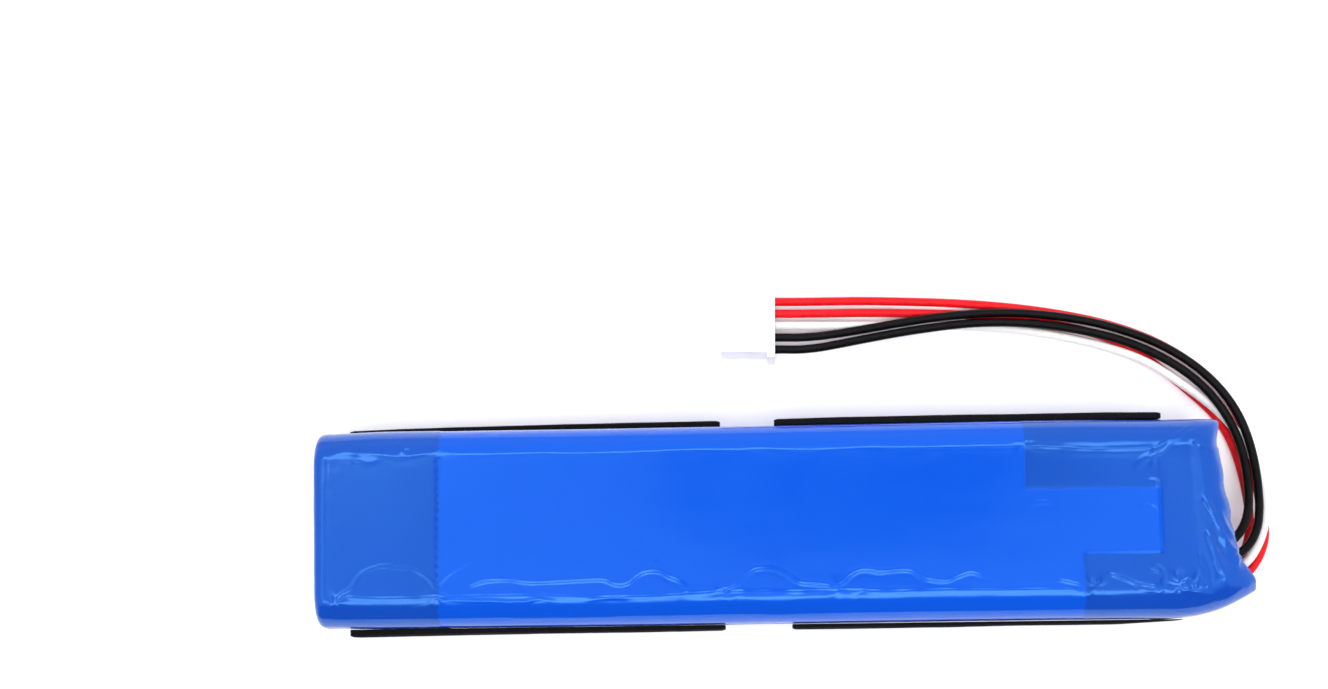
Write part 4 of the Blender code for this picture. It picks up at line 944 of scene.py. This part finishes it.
def build_plug():
    L, W, TH, CL, CW, CT = 8.6, 10.0, 4.5, 1.2, 11.8, 4.8
    body = mesh_object("plug_body", boxes_mesh("plug_body", [((-L, -W / 2, -TH / 2), (-CL + 0.1, W / 2, TH / 2))]), NYLON)
    boolean(body, [boxes_mesh("collar", [((-CL, -CW / 2, -CT / 2), (0.0, CW / 2, CT / 2))])], 'UNION')
    ribs = [((-CL - 1.9, -1.45, TH / 2 - 0.1), (-CL + 0.1, -1.15, TH / 2 + 0.12)),
            ((-CL - 1.9, 1.15, TH / 2 - 0.1), (-CL + 0.1, 1.45, TH / 2 + 0.12)),
            ((-L + 0.0, 3.7, TH / 2 - 0.1), (-CL + 0.1, 4.1, TH / 2 + 0.14)),
            ((-L + 0.0, -4.1, TH / 2 - 0.1), (-CL + 0.1, -3.7, TH / 2 + 0.14))]
    for rib in ribs:
        boolean(body, [boxes_mesh("rib", [rib])], 'UNION')
    cuts = [((-L - 1.0, way_y(i) - 0.75, -1.15), (1.0, way_y(i) + 0.75, 1.15)) for i in range(WAYS)]
    boolean(body, [boxes_mesh("ways", cuts)], 'DIFFERENCE')
    cuts = [((-5.4, way_y(i) - 0.5, -TH), (-3.2, way_y(i) + 0.5, 0.0)) for i in range(WAYS)]
    cuts.append(((-6.9, -2.0, TH / 2 - 0.45), (-4.6, -0.6, TH)))
    boolean(body, [boxes_mesh("windows", cuts)], 'DIFFERENCE')
    # a notch in the +Y side wall
    cuts = [((-7.6, W / 2 - 0.35, -0.9), (-4.4, W / 2 + 1.0, 0.9))]
    boolean(body, [boxes_mesh("notches", cuts)], 'DIFFERENCE')
    body.matrix_world = PLUG_FRAME
    mod = body.modifiers.new("soft_edges", 'BEVEL')
    mod.width = 0.13 * MM
    mod.segments = 3
    mod.limit_method = 'ANGLE'
    mod.angle_limit = math.radians(40)
    mod.use_clamp_overlap = True
    mod.harden_normals = False
    body.data.polygons.foreach_set("use_smooth", [True] * len(body.data.polygons))
    body.data.set_sharp_from_angle(angle=math.radians(60))
    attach(body, "root")
    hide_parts("plug_housing")
    return body


plug_body = build_plug()


# =====================================================================================  leads
WIRE_D = 1.36
LEADS = [
    ("positive_lead_a", 1, RED, "red_insulation",
     [(63.05, -8.0, 8.0), (64.7, -8.0, 8.0), (66.4, -7.9, 8.0), (68.3, -7.4, 8.0), (70.1, -6.4, 7.8), (71.5, -4.8, 7.4),
      (72.4, -2.6, 6.7), (72.8, -0.1, 5.8), (72.9, 2.6, 4.6), (72.8, 5.4, 3.3), (72.5, 8.6, 2.0), (71.7, 12.2, 1.1), (70.2, 15.6, 0.72),
      (68.0, 18.4, 0.7), (65.2, 20.9, 0.7), (62.2, 23.6, 0.7), (59.3, 26.0, 0.7), (56.2, 28.1, 0.7), (52.6, 29.8, 0.7),
      (48.2, 31.3, 0.7), (43.0, 32.3, 0.7), (37.0, 33.2, 0.7), (31.0, 33.9, 0.7), (25.0, 34.2, 0.7), (19.5, 34.35, 0.95), (13.8, 34.4, 1.75)]),
    ("positive_lead_b", 0, RED, "red_insulation",
     [(63.05, -10.2, 8.0), (65.0, -10.2, 8.0), (67.0, -10.2, 8.0), (69.4, -9.8, 8.0), (71.8, -8.3, 7.8), (73.6, -6.0, 7.3),
      (74.8, -3.4, 6.5), (75.2, -0.6, 5.4), (74.9, 2.4, 4.1), (74.6, 5.8, 2.7), (74.5, 9.2, 1.4), (74.1, 12.8, 0.8),
      (73.0, 16.6, 0.7), (71.2, 20.0, 0.7), (68.6, 23.2, 0.7), (65.2, 26.0, 0.7), (61.2, 28.6, 0.7), (56.6, 30.7, 0.7),
      (51.4, 32.4, 0.7), (45.6, 33.7, 0.7), (39.6, 34.7, 0.7), (33.6, 35.4, 0.7), (27.6, 35.9, 0.7), (21.0, 36.2, 0.75), (14.0, 36.4, 1.4)]),
    ("sense_lead", 2, WHITE, "white_insulation",
     [(63.05, -8.6, 10.2), (64.8, -8.6, 10.2), (66.6, -8.6, 10.2), (68.8, -8.3, 10.1), (71.0, -7.0, 9.6), (72.8, -4.9, 8.9),
      (74.2, -2.3, 7.9), (75.2, 0.8, 6.5), (75.5, 4.2, 5.0), (75.2, 7.6, 3.7), (74.0, 11.0, 2.7), (72.3, 14.0, 2.25),
      (70.2, 16.7, 2.15), (67.4, 19.3, 2.15), (64.3, 21.7, 2.15), (61.2, 23.9, 2.15), (58.2, 25.8, 2.15), (55.0, 27.2, 1.75),
      (51.4, 28.5, 1.1), (47.2, 29.7, 0.72), (42.0, 30.8, 0.7), (36.0, 31.6, 0.7), (29.5, 32.1, 0.7), (22.5, 32.35, 0.7), (15.5, 32.4, 1.15)]),
    ("negative_lead_a", 3, BLACK, "black_insulation",
     [(63.05, -6.4, 11.9), (64.8, -6.4, 11.9), (66.6, -6.4, 11.9), (68.6, -6.1, 11.8), (70.6, -5.0, 11.4), (72.2, -3.2, 10.6),
      (73.35, -0.8, 9.4), (73.95, 2.2, 7.9), (74.15, 5.6, 6.5), (74.05, 9.2, 5.4), (73.5, 12.8, 4.6), (72.4, 16.4, 4.0),
      (70.6, 19.8, 3.5), (68.0, 23.0, 3.0), (64.8, 25.8, 2.55), (61.0, 28.25, 2.25), (56.6, 30.2, 2.15), (51.4, 31.9, 2.15),
      (45.4, 33.1, 2.15), (38.8, 33.9, 2.15), (32.2, 33.9, 2.15), (25.8, 33.4, 2.3), (19.6, 32.5, 2.7), (13.4, 31.4, 3.2), (8.2, 30.6, 3.55)]),
    ("negative_lead_b", 4, BLACK, "black_insulation",
     [(63.05, -4.9, 11.9), (64.5, -4.9, 11.9), (66.0, -4.8, 11.9), (67.7, -4.2, 11.8), (69.3, -3.1, 11.4), (70.7, -1.5, 10.7),
      (71.75, 0.6, 9.5), (72.35, 3.1, 8.0), (72.6, 6.2, 6.55), (72.5, 9.4, 5.4), (71.95, 12.6, 4.65), (70.8, 15.8, 4.05),
      (69.1, 18.9, 3.5), (66.7, 21.9, 3.0), (63.7, 24.5, 2.55), (60.1, 26.8, 2.25), (55.8, 28.8, 2.15), (50.8, 30.3, 2.15),
      (44.9, 31.55, 2.15), (38.6, 32.3, 2.15), (32.0, 32.4, 2.15), (25.6, 31.8, 2.3), (19.2, 30.9, 2.7), (12.8, 29.7, 3.3), (7.6, 28.7, 3.9)]),
]


def b_spline(ctrl, per_span=12):
    pts = [Vector(c) for c in ctrl]
    pts = [2 * pts[0] - pts[1]] + pts + [2 * pts[-1] - pts[-2]]
    out = []
    for k in range(len(pts) - 3):
        p0, p1, p2, p3 = pts[k:k + 4]
        for i in range(per_span):
            t = i / per_span
            out.append((p0 * (1 - t) ** 3 + p1 * (3 * t ** 3 - 6 * t ** 2 + 4)
                        + p2 * (-3 * t ** 3 + 3 * t ** 2 + 3 * t + 1) + p3 * t ** 3) / 6.0)
    p1, p2, p3 = pts[-3:]
    out.append((p1 + 4 * p2 + p3) / 6.0)
    return out


def resample(points, spacing):
    lengths = [0.0]
    for a, b in zip(points, points[1:]):
        lengths.append(lengths[-1] + (b - a).length)
    n = max(2, int(round(lengths[-1] / spacing)))
    out, k = [], 0
    for i in range(n + 1):
        want = lengths[-1] * i / n
        while k < len(points) - 2 and lengths[k + 1] < want:
            k += 1
        span = lengths[k + 1] - lengths[k]
        t = 0.0 if span == 0 else (want - lengths[k]) / span
        out.append(points[k].lerp(points[k + 1], min(1.0, max(0.0, t))))
    return out, lengths[-1]


def solder_joint(name, centre, seed):
    """A small fillet of solder."""
    bm = bmesh.new()
    bmesh.ops.create_uvsphere(bm, u_segments=20, v_segments=12, radius=1.0)
    rng = np.random.default_rng(seed)
    for v in bm.verts:
        n = v.co.copy()
        r = 1.0 + 0.06 * math.sin(3 * n.y + seed) * math.cos(4 * n.z + seed)
        x = max(0.0, n.x)
        v.co = Vector((x * 0.95, n.y * 0.78 * r * (1 - 0.35 * x), n.z * 0.82 * r * (1 - 0.35 * x)))
    mesh = bpy.data.meshes.new(name)
    bm.to_mesh(mesh)
    bm.free()
    mesh.transform(Matrix.Translation(Vector(centre) * MM) @ Matrix.Scale(MM, 4))
    mesh.polygons.foreach_set("use_smooth", [True] * len(mesh.polygons))
    obj = mesh_object(name, mesh, SOLDER)
    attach(obj, "root")
    return obj


SOFT = []
for number, (name, way, mat, slot, route) in enumerate(LEADS):
    y = way_y(way)
    ctrl = [Vector(p) for p in route] + [plug_point(5.2, y), plug_point(3.4, y), plug_point(1.7, y), plug_point(0.0, y), plug_point(-2.1, y)]
    dense = b_spline(ctrl)
    points, length = resample(dense, 3.1)
    curve = bpy.data.curves.new(name + "_look", 'CURVE')
    curve.dimensions = '3D'
    curve.bevel_depth = WIRE_D / 2 * MM
    curve.bevel_resolution = 6
    curve.use_fill_caps = True
    curve.resolution_u = 8
    spline = curve.splines.new('BEZIER')
    spline.bezier_points.add(len(points) - 1)
    for k, (bp, p) in enumerate(zip(spline.bezier_points, points)):
        bp.co = p * MM
        bp.handle_left_type = bp.handle_right_type = 'FREE'
        before, after = points[max(0, k - 1)], points[min(len(points) - 1, k + 1)]
        tangent = (after - before).normalized() * (length / (len(points) - 1) / 3.0)
        bp.handle_left = (p - tangent) * MM
        bp.handle_right = (p + tangent) * MM
    obj = bpy.data.objects.new(name + "_look", curve)
    scene.collection.objects.link(obj)
    curve.materials.append(mat)
    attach(obj, "root")
    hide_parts(name)
    joint = solder_joint("solder_" + name, (62.86, route[0][1], route[0][2]), number + 1)


# =====================================================================================  board details
def cap_pieces():
    """Tinned ends of the small two-ended parts, and the legs of the moulded ones."""
    boxes = []
    for node in ("sense_resistor", "filter_capacitor", "temperature_sensor", "board_fuse"):
        lo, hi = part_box(node)
        lo, hi = lo / MM, hi / MM
        for a, b in ((lo.y - 0.06, lo.y + 0.35), (hi.y - 0.35, hi.y + 0.06)):
            boxes.append(((lo.x - 0.04, a, lo.z - 0.05), (hi.x + 0.05, b, hi.z + 0.05)))
    for node, legs in (("switch_transistor_a", 4), ("switch_transistor_b", 4), ("protection_chip", 3)):
        lo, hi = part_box(node)
        lo, hi = lo / MM, hi / MM
        for k in range(legs):
            y = lo.y + (hi.y - lo.y) * (k + 0.5) / legs
            for z0, z1 in ((hi.z - 0.02, hi.z + 0.65), (lo.z - 0.65, lo.z + 0.02)):
                boxes.append(((lo.x - 0.06, y - 0.2, z0), (lo.x + 0.14, y + 0.2, z1)))
    mesh = boxes_mesh("board_tinning", boxes)
    obj = mesh_object("board_tinning", mesh, SOLDER)
    mod = obj.modifiers.new("soft", 'BEVEL')
    mod.width = 0.05 * MM
    mod.segments = 2
    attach(obj, "root")


cap_pieces()
